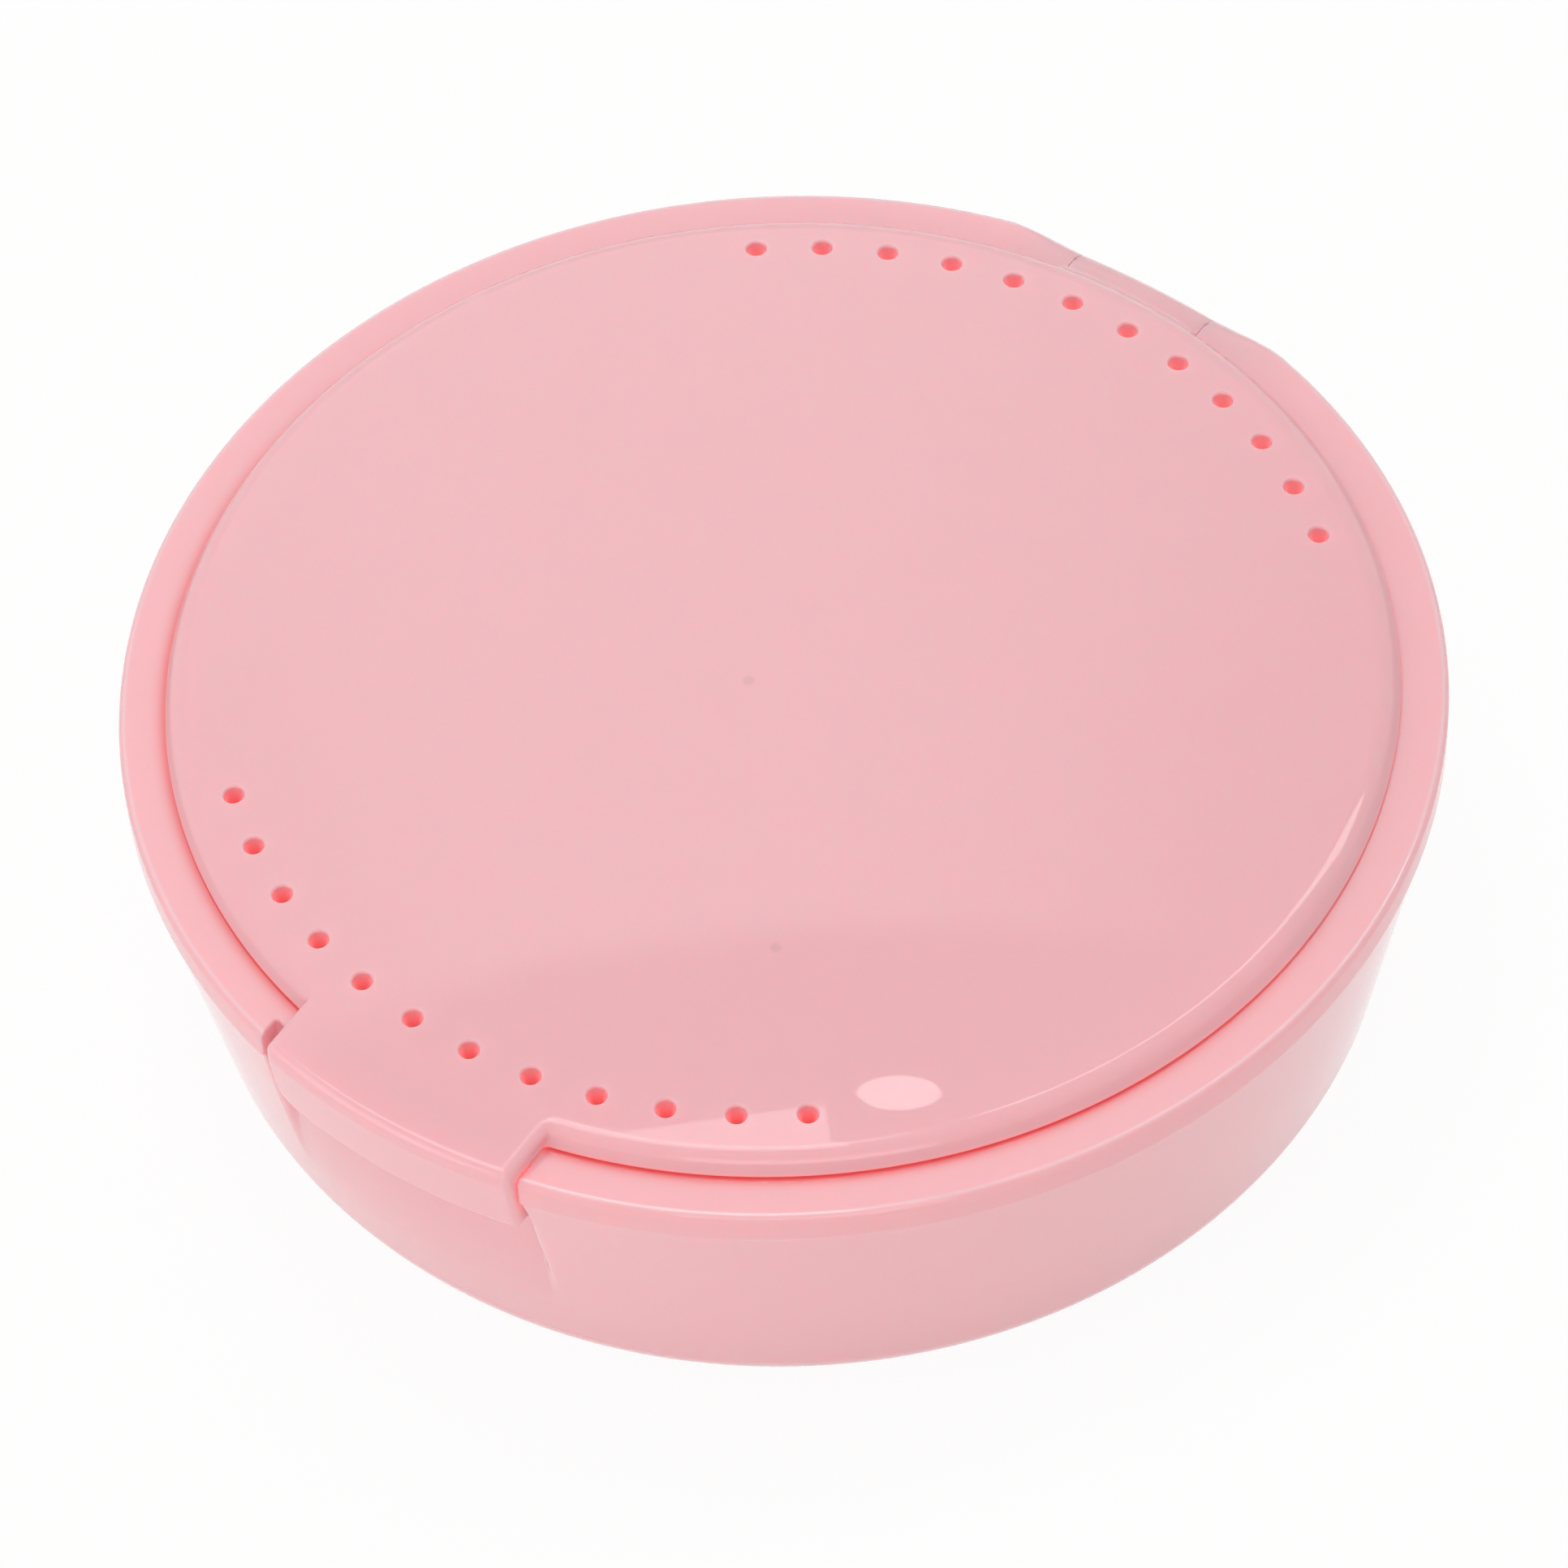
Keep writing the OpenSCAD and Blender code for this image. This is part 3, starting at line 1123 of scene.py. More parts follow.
@dataclass
class VentRows:
    """The two rows of vent holes, cut by Geometry Nodes, in millimetres.

    Attributes:
        circle_r: Radius of the circle that the holes lie on.
        surface_z: Height of the lid's top at that circle.
        surface_slope: Rise of the lid's top away from the axis there.
        per_row: Number of holes in a row.
        step_deg: Angle between neighbouring holes.
        hole_r: Radius of a hole at its top.
        lip: Radius of its rounded lip.
        depth: How far the cutter reaches below the lip.
        draft: How much a hole narrows downwards, as a share of the way down.
    """

    circle_r: float
    surface_z: float
    surface_slope: float
    per_row: int = 12
    step_deg: float = 7.0
    hole_r: float = 0.6
    lip: float = 0.24
    depth: float = 2.2
    draft: float = 0.22

    def distance(self, x: Array, y: Array) -> Array:
        """Gives the distance to the nearest hole's wall, negative in the hole."""
        turn = np.degrees(np.arctan2(np.abs(x), np.abs(y)))
        number = np.clip(np.floor(turn / self.step_deg), 0, self.per_row // 2 - 1)
        nearest = np.radians((number + 0.5) * self.step_deg)
        across = np.abs(x) - self.circle_r * np.sin(nearest)
        along = np.abs(y) - self.circle_r * np.cos(nearest)
        return np.hypot(across, along) - self.hole_r

    def cut(self, piece: bpy.types.Object, material: bpy.types.Material) -> None:
        """Cuts the holes into a piece and leaves a plain mesh.

        Args:
            piece: The lid.
            material: Material of the cut lid.
        """
        tree, sizes = self._tree()
        modifier = piece.modifiers.new("vent_rows", "NODES")
        modifier.node_group = tree
        given = {
            "Material": material,
            "Holes per row": self.per_row,
            "Step": math.radians(self.step_deg),
            "Circle radius": self.circle_r * MM,
            "Hole radius": self.hole_r * MM,
            "Lip": self.lip * MM,
            "Depth": self.depth * MM,
            "Draft": self.draft,
            "Surface height": self.surface_z * MM,
            "Surface slope": self.surface_slope,
        }
        for name, value in given.items():
            modifier[sizes[name]] = value
        ready = bpy.context.evaluated_depsgraph_get()
        mesh = bpy.data.meshes.new_from_object(piece.evaluated_get(ready), depsgraph=ready)
        piece.modifiers.remove(modifier)
        piece.data = mesh

    def _tree(self) -> tuple[bpy.types.NodeTree, dict[str, str]]:
        """Makes the tree that instances a flared cutter along two arcs and cuts with it.

        Returns:
            The tree, and the identifier of each input by its name.
        """
        tree = bpy.data.node_groups.new("vent_rows", "GeometryNodeTree")
        kinds = {
            "Geometry": "NodeSocketGeometry",
            "Material": "NodeSocketMaterial",
            "Holes per row": "NodeSocketInt",
            "Step": "NodeSocketFloat",
            "Circle radius": "NodeSocketFloat",
            "Hole radius": "NodeSocketFloat",
            "Lip": "NodeSocketFloat",
            "Depth": "NodeSocketFloat",
            "Draft": "NodeSocketFloat",
            "Surface height": "NodeSocketFloat",
            "Surface slope": "NodeSocketFloat",
        }
        sizes = {}
        for name, kind in kinds.items():
            sizes[name] = tree.interface.new_socket(name, in_out="INPUT", socket_type=kind).identifier
        tree.interface.new_socket("Geometry", in_out="OUTPUT", socket_type="NodeSocketGeometry")
        graph = Graph(tree)
        given = graph.node("NodeGroupInput")
        size = {name: Wire(graph, given.outputs[name]) for name in kinds}
        cutter = self._cutter(graph, size)
        index = graph.wire("GeometryNodeInputIndex")
        row = graph.sum("FLOOR", index / size["Holes per row"])
        number = index - row * size["Holes per row"]
        middle = (size["Holes per row"] - 1.0) * 0.5
        turn = row * math.pi - math.pi / 2 + size["Step"] * (number - middle)
        feeds = {
            "X": graph.sum("COSINE", turn) * size["Circle radius"],
            "Y": graph.sum("SINE", turn) * size["Circle radius"],
            "Z": size["Surface height"],
        }
        place = graph.wire("ShaderNodeCombineXYZ", feeds=feeds)
        feeds = {"Count": size["Holes per row"] * 2.0, "Position": place}
        points = graph.wire("GeometryNodePoints", feeds=feeds)
        spin = graph.wire("ShaderNodeCombineXYZ", feeds={"Z": turn})
        feeds = {"Points": points, "Instance": cutter, "Rotation": spin}
        cutters = graph.wire("GeometryNodeInstanceOnPoints", feeds=feeds)
        cutters = graph.wire("GeometryNodeRealizeInstances", feeds={"Geometry": cutters})
        settings = {"operation": "DIFFERENCE", "solver": "EXACT"}
        feeds = {"Mesh 1": size["Geometry"], "Mesh 2": cutters}
        lid = graph.wire("GeometryNodeMeshBoolean", settings, feeds)
        lid = graph.wire("GeometryNodeSetShadeSmooth", feeds={"Geometry": lid})
        lid = graph.wire("GeometryNodeRealizeInstances", feeds={"Geometry": lid})
        lid = graph.wire("GeometryNodeSetMaterial", feeds={"Geometry": lid, "Material": size["Material"]})
        graph.node("NodeGroupOutput", feeds={"Geometry": lid})
        return tree, sizes

    @staticmethod
    def _cutter(graph: Graph, size: dict[str, Wire]) -> Wire:
        """Adds a round cutter whose top flares out along a quarter round.

        Args:
            graph: Graph of the tree.
            size: Inputs of the tree by name.

        Returns:
            The cutter's mesh, with the lid's surface at its origin.
        """
        flare = math.radians(70)
        flare_share = 0.75
        feeds = {"Vertices": 28, "Side Segments": 16, "Radius": size["Hole radius"], "Depth": 2.0}
        bar = graph.wire("GeometryNodeMeshCylinder", feeds=feeds)
        place = graph.wire("GeometryNodeInputPosition")
        split = graph.node("ShaderNodeSeparateXYZ", feeds={"Vector": place})
        x, y, share = (Wire(graph, split.outputs[axis]) for axis in "XYZ")
        above = graph.sum("MAXIMUM", share, 0.0)
        below = graph.sum("MINIMUM", share, 0.0)
        lean = graph.sum("MINIMUM", above / flare_share, 1.0) * flare
        tail = graph.sum("MAXIMUM", above - flare_share, 0.0) / (1.0 - flare_share) * size["Lip"] * 2.0
        wider = size["Lip"] * (1.0 - graph.sum("COSINE", lean)) + tail * math.sin(flare)
        wider = wider + below * size["Depth"] * size["Draft"]
        rise = size["Lip"] * (graph.sum("SINE", lean) - 1.0) + tail * math.cos(flare)
        swell = 1.0 + wider / size["Hole radius"]
        height = below * size["Depth"] + rise + x * swell * size["Surface slope"]
        moved = graph.wire("ShaderNodeCombineXYZ", feeds={"X": x * swell, "Y": y * swell, "Z": height})
        return graph.wire("GeometryNodeSetPosition", feeds={"Geometry": bar, "Position": moved})


@dataclass
class Lid:
    """The domed lid with its ring, clasp tab, knuckle and vent holes, in millimetres.

    Attributes:
        hinge: Sizes that it shares with the tray at the back.
        clasp: Sizes that it shares with the tray at the front.
        finish: Its plastic.
        lid_r: Radius of the lid's edge.
        top_z: Height of the dome's middle.
        tray_h: Height of the rim's top.
        seat_gap: Gap between the lid and the rim.
        plate_t: Thickness of the domed plate.
        dome_rise: Rise of the dome from the edge to the middle.
        bend_r: Radius beyond which the dome runs on straight.
        edge_lean: How far the disc's side leans in, as a share of its height.
        back_lean: How much more it leans in at the back, and less at the front.
        edge_round: Radius of the lid's top edge.
        leg_round: Radius of the edges on the inside of the tab.
        tab_corner: Radius of the tab's outer corners.
        tab_root: Radius of the corners between the tab and the disc.
        tab_lean: How far the tab's face leans in below the rim's top, as a share of its height.
        near_tip_round: Radius of the tab's lower corner on the right.
        far_tip_round: Radius of the tab's lower corner on the left.
        under_round: Radius of the edges under the lid.
        seam_round: Radius of the lid's lower edge.
        ring_gap: Distance of the ring from the lid's edge.
        ring_t: Thickness of the ring.
        ring_h: Depth of the ring.
        ring_round: Radius of the ring's edges.
        web_t: Reach of the knuckle's web in front of the hinge axis.
        vent_inset: Distance of the vent holes from the lid's edge.
        pin_clear: Room round the pin.
        knuckle_widen: How far each end of the knuckle reaches into its gap.
        knuckle_crown: How far the knuckle swells in its middle.
        knuckle_edge: Radius of the edges at its ends.
        hole_painted_glow: Painted glow in the vent holes.
        front_hole_painted_shade: Deep red painted shade in the holes behind the clasp.
        back_hole_painted_light: Pale painted light in the holes in front of the hinge.
        seam_painted_glow: Painted glow along the seam.
        seam_painted_shade: How deep red the lower edge is painted, as painted shade along the seam.
        end_painted_glow: Painted glow at the knuckle's ends.
        side_painted_glow: Painted glow at the tab's right side.
    """

    hinge: HingePlaces
    clasp: ClaspPlaces
    finish: MouldedPlastic
    lid_r: float
    top_z: float
    tray_h: float
    seat_gap: float = 0.1
    plate_t: float = 1.5
    dome_rise: float = 1.65
    bend_r: float = 36.0
    edge_lean: float = 0.58
    back_lean: float = 0.17
    edge_round: float = 0.6
    leg_round: float = 0.3
    tab_corner: float = 0.4
    tab_root: float = 0.2
    tab_lean: float = 0.135
    near_tip_round: float = 0.3
    far_tip_round: float = 1.6
    under_round: float = 0.2
    seam_round: float = 0.08
    ring_gap: float = 1.4
    ring_t: float = 0.9
    ring_h: float = 2.0
    ring_round: float = 0.25
    web_t: float = 1.6
    vent_inset: float = 3.4
    pin_clear: float = 0.05
    knuckle_widen: float = 0.13
    knuckle_crown: float = 0.15
    knuckle_edge: float = 0.06
    hole_painted_glow: float = 0.85
    front_hole_painted_shade: float = 0.9
    back_hole_painted_light: float = -0.15
    seam_painted_glow: float = 0.45
    seam_painted_shade: float = 1.0
    end_painted_glow: float = 0.12
    side_painted_glow: float = 0.5

    @property
    def seat_z(self) -> float:
        """Height of the lid's flat seat over the rim."""
        return self.tray_h + self.seat_gap

    @property
    def dome_r(self) -> float:
        """Radius of the dome's sphere."""
        return (self.lid_r**2 + self.dome_rise**2) / (2 * self.dome_rise)

    def vents(self) -> VentRows:
        """Gives the rows of vent holes on the dome."""
        circle_r = self.lid_r - self.vent_inset
        rise = math.sqrt(self.dome_r**2 - circle_r**2)
        return VentRows(circle_r, self.top_z - self.dome_r + rise, -circle_r / rise)

    def plain(self, x: Array, y: Array, z: Array) -> Array:
        """Gives the distance to the lid without its vent holes.

        Args:
            x: Places along X.
            y: Places along Y.
            z: Heights.

        Returns:
            Distance to its skin, negative inside.
        """
        r = np.hypot(x, y)
        dome = self._dome(r, z)
        lid = rounded_and(self._outline(x, y, r, z), dome, self.edge_round)
        lid = rounded_and(lid, self._underside(r, z, dome), self.seam_round)
        lid = rounded_or(lid, self._ring(x, y, r, z), self.under_round)
        bead = self.clasp.bead(x, y, z, self.clasp.in_r, self.clasp.bead_rise, self.clasp.bead_proud)
        lid = rounded_or(lid, bead, self.clasp.bead_proud / 2)
        lid = rounded_or(lid, self._knuckle(x, y, r, z), self.under_round)
        bore_r = self.hinge.pin_r + self.pin_clear
        bore = np.maximum(self.hinge.from_axis(y, z) - bore_r, np.abs(x) - 2 * self.hinge.knuckle_half)
        return np.maximum(lid, -bore)

    def solid(self, x: Array, y: Array, z: Array) -> Array:
        """Gives the distance to the lid with its vent holes cut."""
        vents = self.vents()
        return rounded_cut(self.plain(x, y, z), vents.distance(x, y), vents.lip)

    def glow(self, x: Array, y: Array, z: Array) -> Array:
        """Gives how much painted glow comes out: in the vent holes, over the rim, at tab and knuckle.

        Args:
            x: Places along X.
            y: Places along Y.
            z: Heights.

        Returns:
            Share of the painted glow, from 0 to 1.
        """
        r = np.hypot(x, y)
        # Painted glow in the holes, along the seam, beside the tab and at the knuckle's ends, standing in for
        # light through the plastic
        in_hole = self._in_hole(x, y, r, z)
        in_seam = self._over_rim(r) * ease(self.seat_z + 0.25, self.seat_z + 0.1, z)
        side = x - self.clasp.tab_shift - self.clasp.tab_half
        at_side = ease(-0.1, 0.0, side) * ease(self.clasp.out_r - 0.2, self.clasp.out_r - 1.3, r) * (y < 0.0)
        at_side = at_side * ease(self.tray_h + 0.5, self.tray_h, z)
        at_side = at_side * ease(self.clasp.low_z + 0.5, self.clasp.low_z + 2.5, z)
        at_end = ease(-0.15, 0.0, np.abs(x) - self.hinge.slot_half) * (y > self.hinge.front_y)
        at_end = at_end * ease(self.tray_h + 0.1, self.tray_h - 0.1, z)
        in_gaps = np.maximum(self.side_painted_glow * at_side, self.end_painted_glow * at_end)
        return np.maximum(self.hole_painted_glow * in_hole, np.maximum(self.seam_painted_glow * in_seam, in_gaps))

    def tint(self, x: Array, y: Array, z: Array) -> Array:
        """Gives the deep red painted shade at the lid's lower edge and in its holes, and pale painted light
        in the rear holes.

        Args:
            x: Places along X.
            y: Places along Y.
            z: Heights.

        Returns:
            Tint, from 1 for deep red painted shade to -1 for pale painted light.
        """
        r = np.hypot(x, y)
        # Painted shade in deep red along the seam and in the front holes, painted light in pale in the rear
        # holes
        seam = self.seam_painted_shade * self._over_rim(r) * ease(self.seat_z + 0.22, self.seat_z + 0.02, z)
        hole_painted_tint = np.where(y < 0.0, self.front_hole_painted_shade, self.back_hole_painted_light)
        return seam + hole_painted_tint * self._in_hole(x, y, r, z)

    def _in_hole(self, x: Array, y: Array, r: Array, z: Array) -> Array:
        """Tells how deep in a vent hole places lie, from 0 to 1."""
        return ease(0.15, 0.0, self.vents().distance(x, y)) * ease(0.0, 1.3, -self._dome(r, z))

    def _over_rim(self, r: Array) -> Array:
        """Tells which radii lie over the rim, from the ring to the lid's edge, softly from 0 to 1."""
        ring_r = self.lid_r - self.ring_gap
        return ease(ring_r, ring_r + 0.2, r) * ease(self.lid_r + 0.2, self.lid_r + 0.1, r)

    def _dome(self, r: Array, z: Array) -> Array:
        """Gives the distance to the dome, negative below it: a sphere that runs on straight over the tab."""
        beyond = np.maximum(r - self.bend_r, 0.0)
        return np.hypot(r, z - self.top_z + self.dome_r) - self.dome_r - beyond**2 / (2 * self.dome_r)

    def _outline(self, x: Array, y: Array, r: Array, z: Array) -> Array:
        """Gives the outline: a disc with a bevelled side, and the tab, which leans in towards its tip."""
        across = x - self.clasp.tab_shift
        tip_round = np.where(across > 0.0, self.near_tip_round, self.far_tip_round)
        flag = rounded_and(np.abs(across) - self.clasp.tab_half, self.clasp.low_z - z, tip_round)
        face_r = self.clasp.out_r - self.tab_lean * np.maximum(self.tray_h - z, 0.0)
        tab = rounded_and(flag, r - face_r, self.tab_corner)
        lean = self.edge_lean + self.back_lean * y / self.lid_r
        disc_r = self.lid_r - lean * np.maximum(z - self.seat_z, 0.0)
        disc = (r - disc_r) / np.hypot(1.0, lean)
        return rounded_or(disc, np.maximum(tab, y), self.tab_root)

    def _underside(self, r: Array, z: Array, dome: Array) -> Array:
        """Gives all that lies above the lid's underside, with the tab's leg outside the rim."""
        plate = rounded_and(self.seat_z - z, -dome - self.plate_t, self.under_round)
        leg = rounded_and(self.clasp.in_r - r, self.clasp.low_z - z, self.leg_round)
        return rounded_or(plate, leg, self.leg_round)

    def _ring(self, x: Array, y: Array, r: Array, z: Array) -> Array:
        """Gives the ring that locates the lid in the mouth, left out beside the hinge."""
        outer_r = self.lid_r - self.ring_gap
        wall = np.abs(r - outer_r + self.ring_t / 2) - self.ring_t / 2
        ring = rounded_and(wall, self.seat_z - self.ring_h - z, self.ring_round)
        ring = np.maximum(ring, z - self.seat_z - self.plate_t / 2)
        beside = np.maximum(np.abs(x) - self.hinge.ears_half - self.hinge.room, -y)
        return rounded_cut(ring, np.maximum(beside, z - self.seat_z), self.ring_round)

    def _knuckle(self, x: Array, y: Array, r: Array, z: Array) -> Array:
        """Gives the crowned knuckle, its ends level with the rim, and the web that carries it."""
        crown = self.knuckle_crown * (1.0 - (x / self.hinge.knuckle_half) ** 2)
        back = y - self.hinge.back_y
        barrel = rounded_and(self.hinge.from_axis(y, z) - self.hinge.barrel_r - crown, back, self.under_round)
        top = z - self.hinge.axis_z - self.hinge.barrel_r - crown
        front = np.maximum(self.hinge.axis_y - self.web_t - y, self.hinge.axis_z - z)
        web = np.maximum(front, np.maximum(y - self.hinge.axis_y, top))
        post = np.maximum(r - self.lid_r + self.under_round, z - self.seat_z - self.plate_t / 2)
        post = np.maximum(front, post)
        ends = np.abs(x) - self.hinge.knuckle_half - self.knuckle_widen
        return rounded_and(np.minimum(barrel, np.minimum(web, post)), ends, self.knuckle_edge)

    def grid(self) -> PolarGrid:
        """Gives the grid on which the lid is traced, fine at its edge, the clasp and the hinge."""
        half_turn = turns_from_clasp(0.8)
        radii = steps_along((0, 34, 2.0), (34, self.clasp.out_r + 0.5, 0.15))
        heights = steps_along((self.clasp.low_z - 0.5, self.top_z + 0.5, 0.15))
        return PolarGrid(half_turn, radii, heights)

    def build(self) -> bpy.types.Object:
        """Makes the lid's mesh, cuts its vent holes, dresses it and puts it in the frame.

        Returns:
            The lid.
        """
        mesh = moulding_mesh("lid_moulding", *self.grid().trace(self.plain))
        piece = show("lid_moulding", mesh)
        self.vents().cut(piece, self.finish.make())
        shade_as_solid(piece.data, self.solid, self.plain)
        # Painted glow, painted shade and painted light, stored on the points for the plastic
        mark(piece.data, PAINTED_GLOW, self.glow)
        mark(piece.data, PAINTED_TINT, self.tint)
        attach(piece, Body.COVER.value)
        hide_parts("lid")
        return piece


@dataclass
class HingePin:
    """The steel pin, which keeps its solid from the frame."""

    finish: DrawnSteel

    def dress(self) -> bpy.types.Object:
        """Gives the pin its steel.

        Returns:
            The pin.
        """
        piece = frame["nodes"]["hinge_pin"]
        piece.material_slots[0].material = self.finish.make()
        return piece


# Studio


@dataclass(frozen=True)
class PhotoCamera:
    """Camera where the photograph was taken from, in degrees and millimetres."""

    azimuth: float = 38.526
    elevation: float = 50.921
    roll: float = -3.456
    distance: float = 518.24
    aim_height: float = 21.112
    aim_right: float = -0.263
    aim_up: float = -5.811
    lens: float = 197.76
    sensor: float = 36.0
    nearest: float = 10.0
    farthest: float = 20000.0

    def build(self) -> bpy.types.Object:
        """Makes the camera and gives it to the scene.

        Returns:
            The camera.
        """
        turn, tilt, roll = (math.radians(angle) for angle in (self.azimuth, self.elevation, self.roll))
        right = Vector((math.cos(turn), math.sin(turn), 0.0))
        back = Vector((math.sin(turn) * math.cos(tilt), -math.cos(turn) * math.cos(tilt), math.sin(tilt)))
        up = back.cross(right)
        aim = Vector((0.0, 0.0, self.aim_height)) + right * self.aim_right + up * self.aim_up
        lens = bpy.data.cameras.new("photo_camera")
        lens.sensor_width = self.sensor
        lens.lens = self.lens
        lens.clip_start = self.nearest * MM
        lens.clip_end = self.farthest * MM
        camera = bpy.data.objects.new("photo_camera", lens)
        side = right * math.cos(roll) + up * math.sin(roll)
        top = up * math.cos(roll) - right * math.sin(roll)
        turned = Matrix((side, top, back)).transposed().to_4x4()
        camera.matrix_world = Matrix.Translation((aim + back * self.distance) * MM) @ turned
        bpy.context.scene.collection.objects.link(camera)
        bpy.context.scene.camera = camera
        return camera


@dataclass(frozen=True)
class Softbox:
    """A soft lamp, in metres, degrees and watts.

    Attributes:
        name: Name of the lamp.
        place: Place of its middle.
        aim: The place that it looks at.
        width: Its width.
        depth: Its depth, across its width.
        power: Its power.
        turn: Direction in which its depth runs, turned from +X towards +Y.
        shape: Blender's name of its shape.
    """

    name: str
    place: tuple[float, float, float]
    aim: tuple[float, float, float]
    width: float
    depth: float
    power: float
    turn: float = 128.5
    shape: str = "RECTANGLE"

    def build(self) -> bpy.types.Object:
        """Makes the lamp.

        Returns:
            The lamp.
        """
        data = bpy.data.lights.new(self.name, "AREA")
        data.shape = self.shape
        data.size = self.width
        data.size_y = self.depth
        data.energy = self.power
        back = (Vector(self.place) - Vector(self.aim)).normalized()
        turn = math.radians(self.turn)
        side = Vector((math.cos(turn), math.sin(turn), 0.0)).cross(back).normalized()
        lamp = bpy.data.objects.new(self.name, data)
        turned = Matrix((side, back.cross(side), back)).transposed().to_4x4()
        lamp.matrix_world = Matrix.Translation(self.place) @ turned
        bpy.context.scene.collection.objects.link(lamp)
        return lamp


@dataclass(frozen=True)
class PalePanel:
    """A panel far behind the case that the lid mirrors, in degrees, with soft sides and a clear upper edge.

    Attributes:
        strength: Its brightness above that of the surroundings.
        top: Start and end of its upper edge, as elevations.
        foot: Start and end of its lower edge.
        right: Start and end of its right side, turned from +X towards +Y.
        left: Start and end of its left side.
    """

    strength: float = 1.0
    top: tuple[float, float] = (58.2, 57.0)
    foot: tuple[float, float] = (20.0, 36.0)
    right: tuple[float, float] = (106.0, 129.0)
    left: tuple[float, float] = (156.0, 138.0)

    def light(self, graph: Graph) -> Wire:
        """Adds the panel to the world.

        Args:
            graph: Graph of the world.

        Returns:
            Its brightness in each direction.
        """
        way = graph.wire("ShaderNodeTexCoord", output="Generated")
        split = graph.node("ShaderNodeSeparateXYZ", feeds={"Vector": way})
        x, y, z = (Wire(graph, split.outputs[axis]) for axis in "XYZ")
        tilt = graph.sum("ARCSINE", z)
        turn = graph.sum("ARCTAN2", y, x)
        light = graph.rise(tilt, self.top) * graph.rise(tilt, self.foot)
        return light * graph.rise(turn, self.right) * graph.rise(turn, self.left) * self.strength


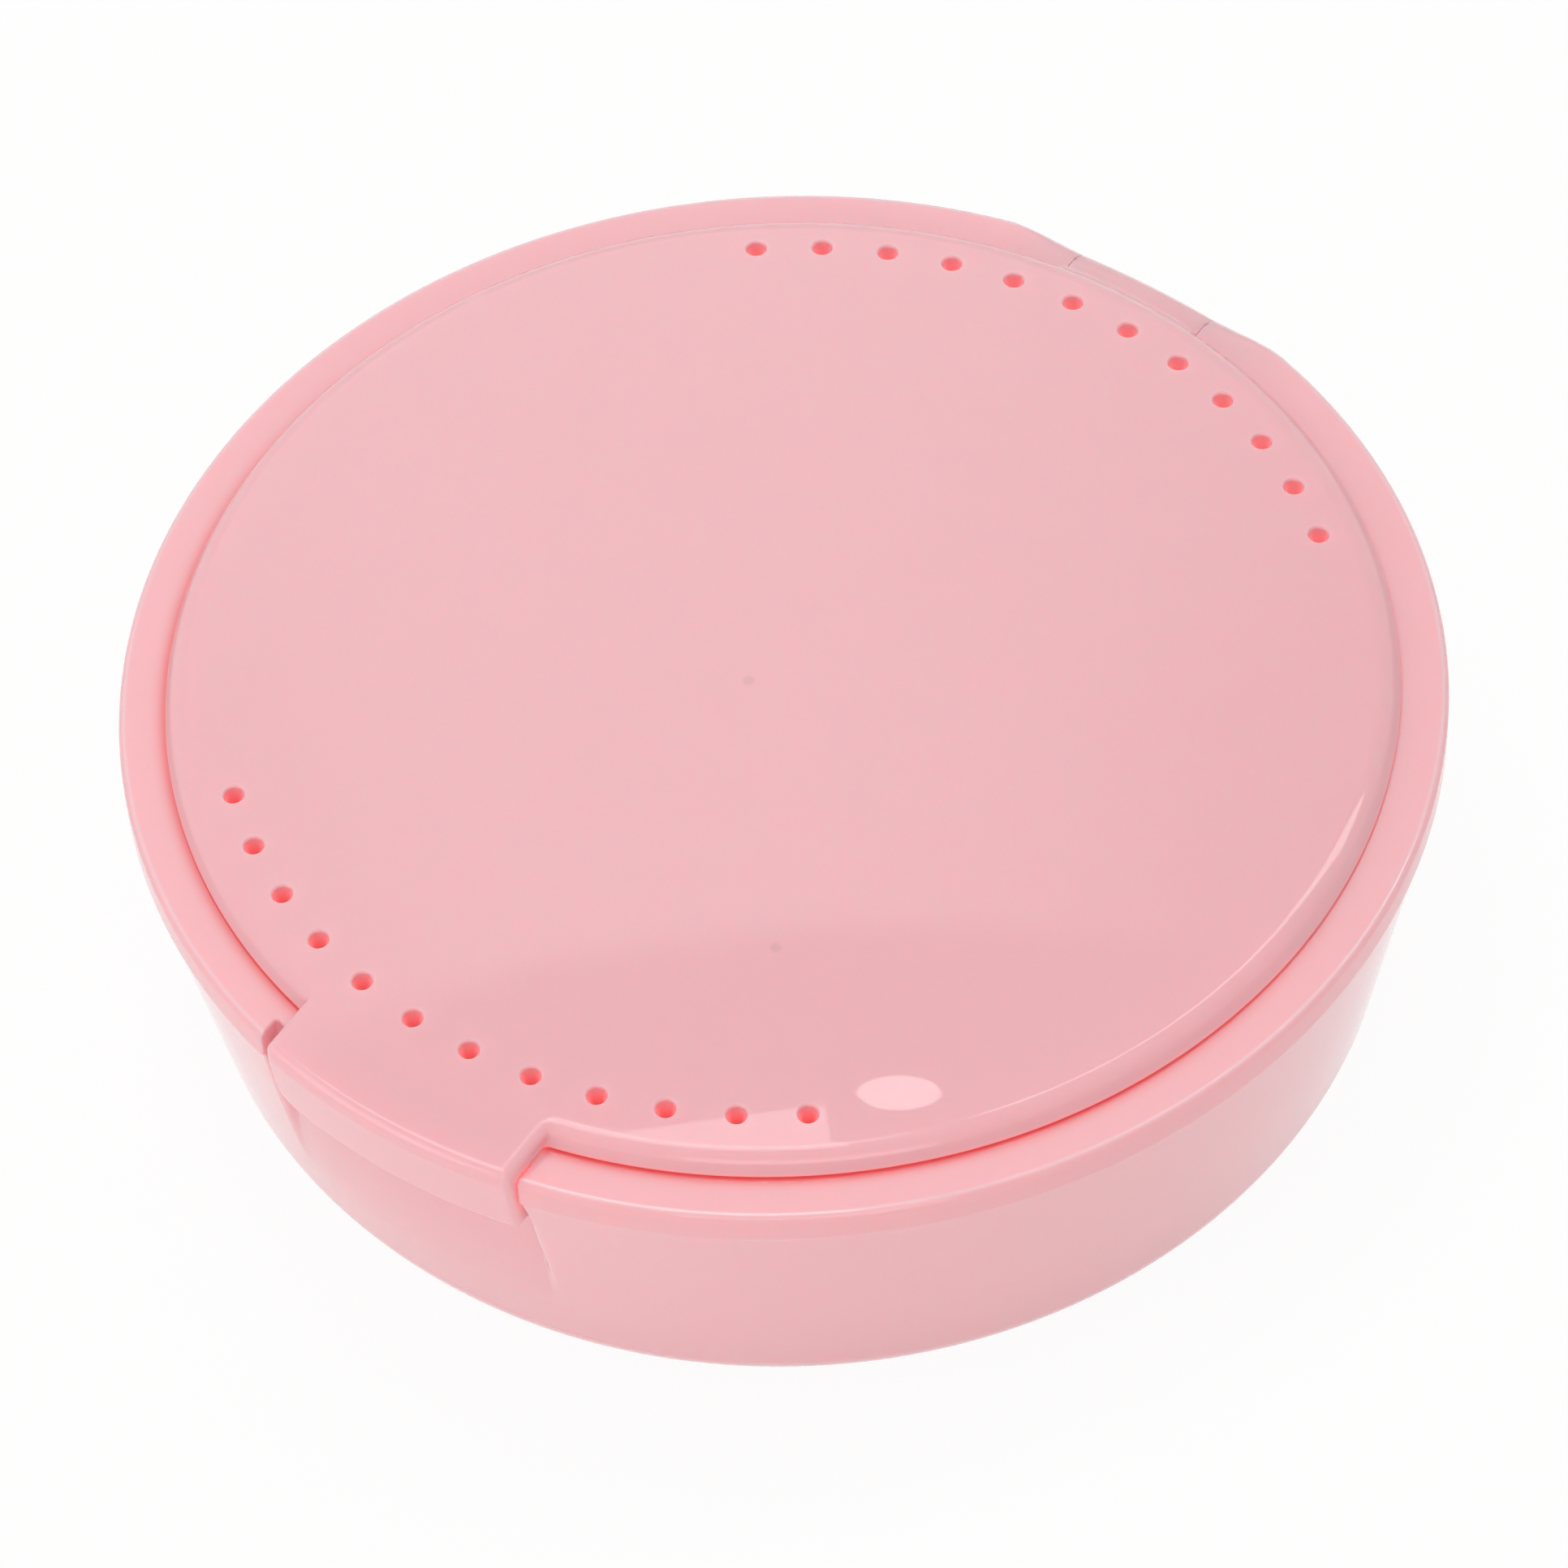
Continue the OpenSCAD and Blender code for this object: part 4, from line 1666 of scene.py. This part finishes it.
@dataclass
class Studio:
    """Pale floor, white surroundings and soft lamps."""

    ambient: float = 0.45
    panel: PalePanel = PalePanel()
    floor_half: float = 3.0
    floor_z: float = -0.00005
    floor_colour: Colour = (0.98, 0.93, 0.91)
    floor_white: float = 0.94
    lamps: Sequence[Softbox] = field(
        default_factory=lambda: (
            Softbox("overhead", (-0.222, -0.028, 1.023), (-0.222, -0.028, 0.0), 0.45, 0.725, 2.3, 132.5),
            Softbox("overhead_core", (-0.13, 0.07, 1.0), (-0.13, 0.07, 0.0), 0.3, 0.3, 0.5, 132.5),
            Softbox(
                "small_lamp",
                (-0.243, 0.3655, 0.9056),
                (0.0245, -0.0222, 0.0235),
                0.034,
                0.0175,
                0.006,
                124.6,
                "ELLIPSE",
            ),
            Softbox("right_lamp", (0.2, 0.552, 0.81), (0.0, 0.0, 0.0), 0.9, 0.15, 1.4),
            Softbox("left_fill", (-0.4, -0.85, 0.34), (0.0, 0.0, 0.0), 0.6, 0.6, 1.7),
            Softbox("front_fill", (0.702, -0.8825, 0.41), (0.0, 0.0, 0.0), 0.8, 0.5, 2.1),
        )
    )

    def build(self) -> None:
        """Makes the floor, the world and the lamps."""
        scene = bpy.context.scene
        scene.view_settings.view_transform = "Standard"
        scene.world = self._world()
        corner = self.floor_half
        mesh = bpy.data.meshes.new("floor")
        sides = [(-corner, -corner), (corner, -corner), (corner, corner), (-corner, corner)]
        mesh.from_pydata([(x, y, self.floor_z) for x, y in sides], [], [(0, 1, 2, 3)])
        mesh.materials.append(self._floor_material())
        show("floor", mesh)
        for lamp in self.lamps:
            lamp.build()

    def _world(self) -> bpy.types.World:
        """Makes a world that looks white and lights the case evenly."""
        world = bpy.data.worlds.new("white_surroundings")
        world.use_nodes = True
        graph = Graph(world.node_tree)
        seen, in_view = self._seen(graph)
        strength = self.ambient + seen * (1.0 - self.ambient) + self.panel.light(graph) * (1.0 - in_view)
        feeds = {"Color": opaque((1.0, 1.0, 1.0)), "Strength": strength}
        background = graph.wire("ShaderNodeBackground", feeds=feeds)
        graph.node("ShaderNodeOutputWorld", feeds={"Surface": background})
        return world

    @staticmethod
    def _seen(graph: Graph) -> tuple[Wire, Wire]:
        """Tells what looks at a surface.

        Args:
            graph: Graph of the floor or of the world.

        Returns:
            1 where the camera, a mirror or a glass looks, and 1 where the camera looks straight.
        """
        path = graph.node("ShaderNodeLightPath")
        kinds = ("Is Camera Ray", "Is Glossy Ray", "Is Transmission Ray")
        camera, glossy, clear = (Wire(graph, path.outputs[kind]) for kind in kinds)
        return graph.sum("MINIMUM", camera + glossy + clear, 1.0), camera

    def _floor_material(self) -> bpy.types.Material:
        """Makes a pale floor that looks nearly white and still takes the shadow."""
        material = bpy.data.materials.new("pale_floor")
        material.use_nodes = True
        graph = Graph(material.node_tree)
        seen = self._seen(graph)[0] * self.floor_white
        matt = graph.wire("ShaderNodeBsdfDiffuse", feeds={"Color": opaque(self.floor_colour)})
        white = graph.wire("ShaderNodeEmission", feeds={"Color": opaque((1.0, 1.0, 1.0)), "Strength": 1.0})
        mixed = graph.wire("ShaderNodeMixShader", feeds={0: seen, 1: matt, 2: white})
        graph.node("ShaderNodeOutputMaterial", feeds={"Surface": mixed})
        return material


def main() -> None:
    """Builds the case piece by piece, then the studio round it."""
    logging.basicConfig(level=logging.INFO, format="%(name)s: %(message)s")
    hinge = HingePlaces.from_frame()
    clasp = ClaspPlaces.from_frame()
    _, tray_high = box_mm("base_tray")
    _, lid_high = box_mm("lid")
    tray_pink = (0.965, 0.505, 0.54)
    lid_pink = (0.945, 0.505, 0.54)
    tray_plastic = MouldedPlastic(Slot.TRAY.value, tray_pink)
    lid_marks = (
        Speck((-0.1, -3.1, 24.8), 0.5),
        Speck((12.8, -18.2, 24.2), 0.45),
    )
    lid_plastic = MouldedPlastic(Slot.LID.value, lid_pink, lid_marks)
    lid_r = lid_high[0]
    tray = Tray(hinge, clasp, tray_plastic, rim_r=tray_high[0], height=tray_high[2], seam_r=lid_r)
    lid = Lid(hinge, clasp, lid_plastic, lid_r=lid_r, top_z=lid_high[2], tray_h=tray_high[2])
    pin = HingePin(DrawnSteel(Slot.PIN.value))
    for piece in (tray.build(), lid.build(), pin.dress()):
        log.info("%s: %d faces", piece.name, len(piece.data.polygons))
    Studio().build()
    PhotoCamera().build()


if __name__ == "__main__":
    main()
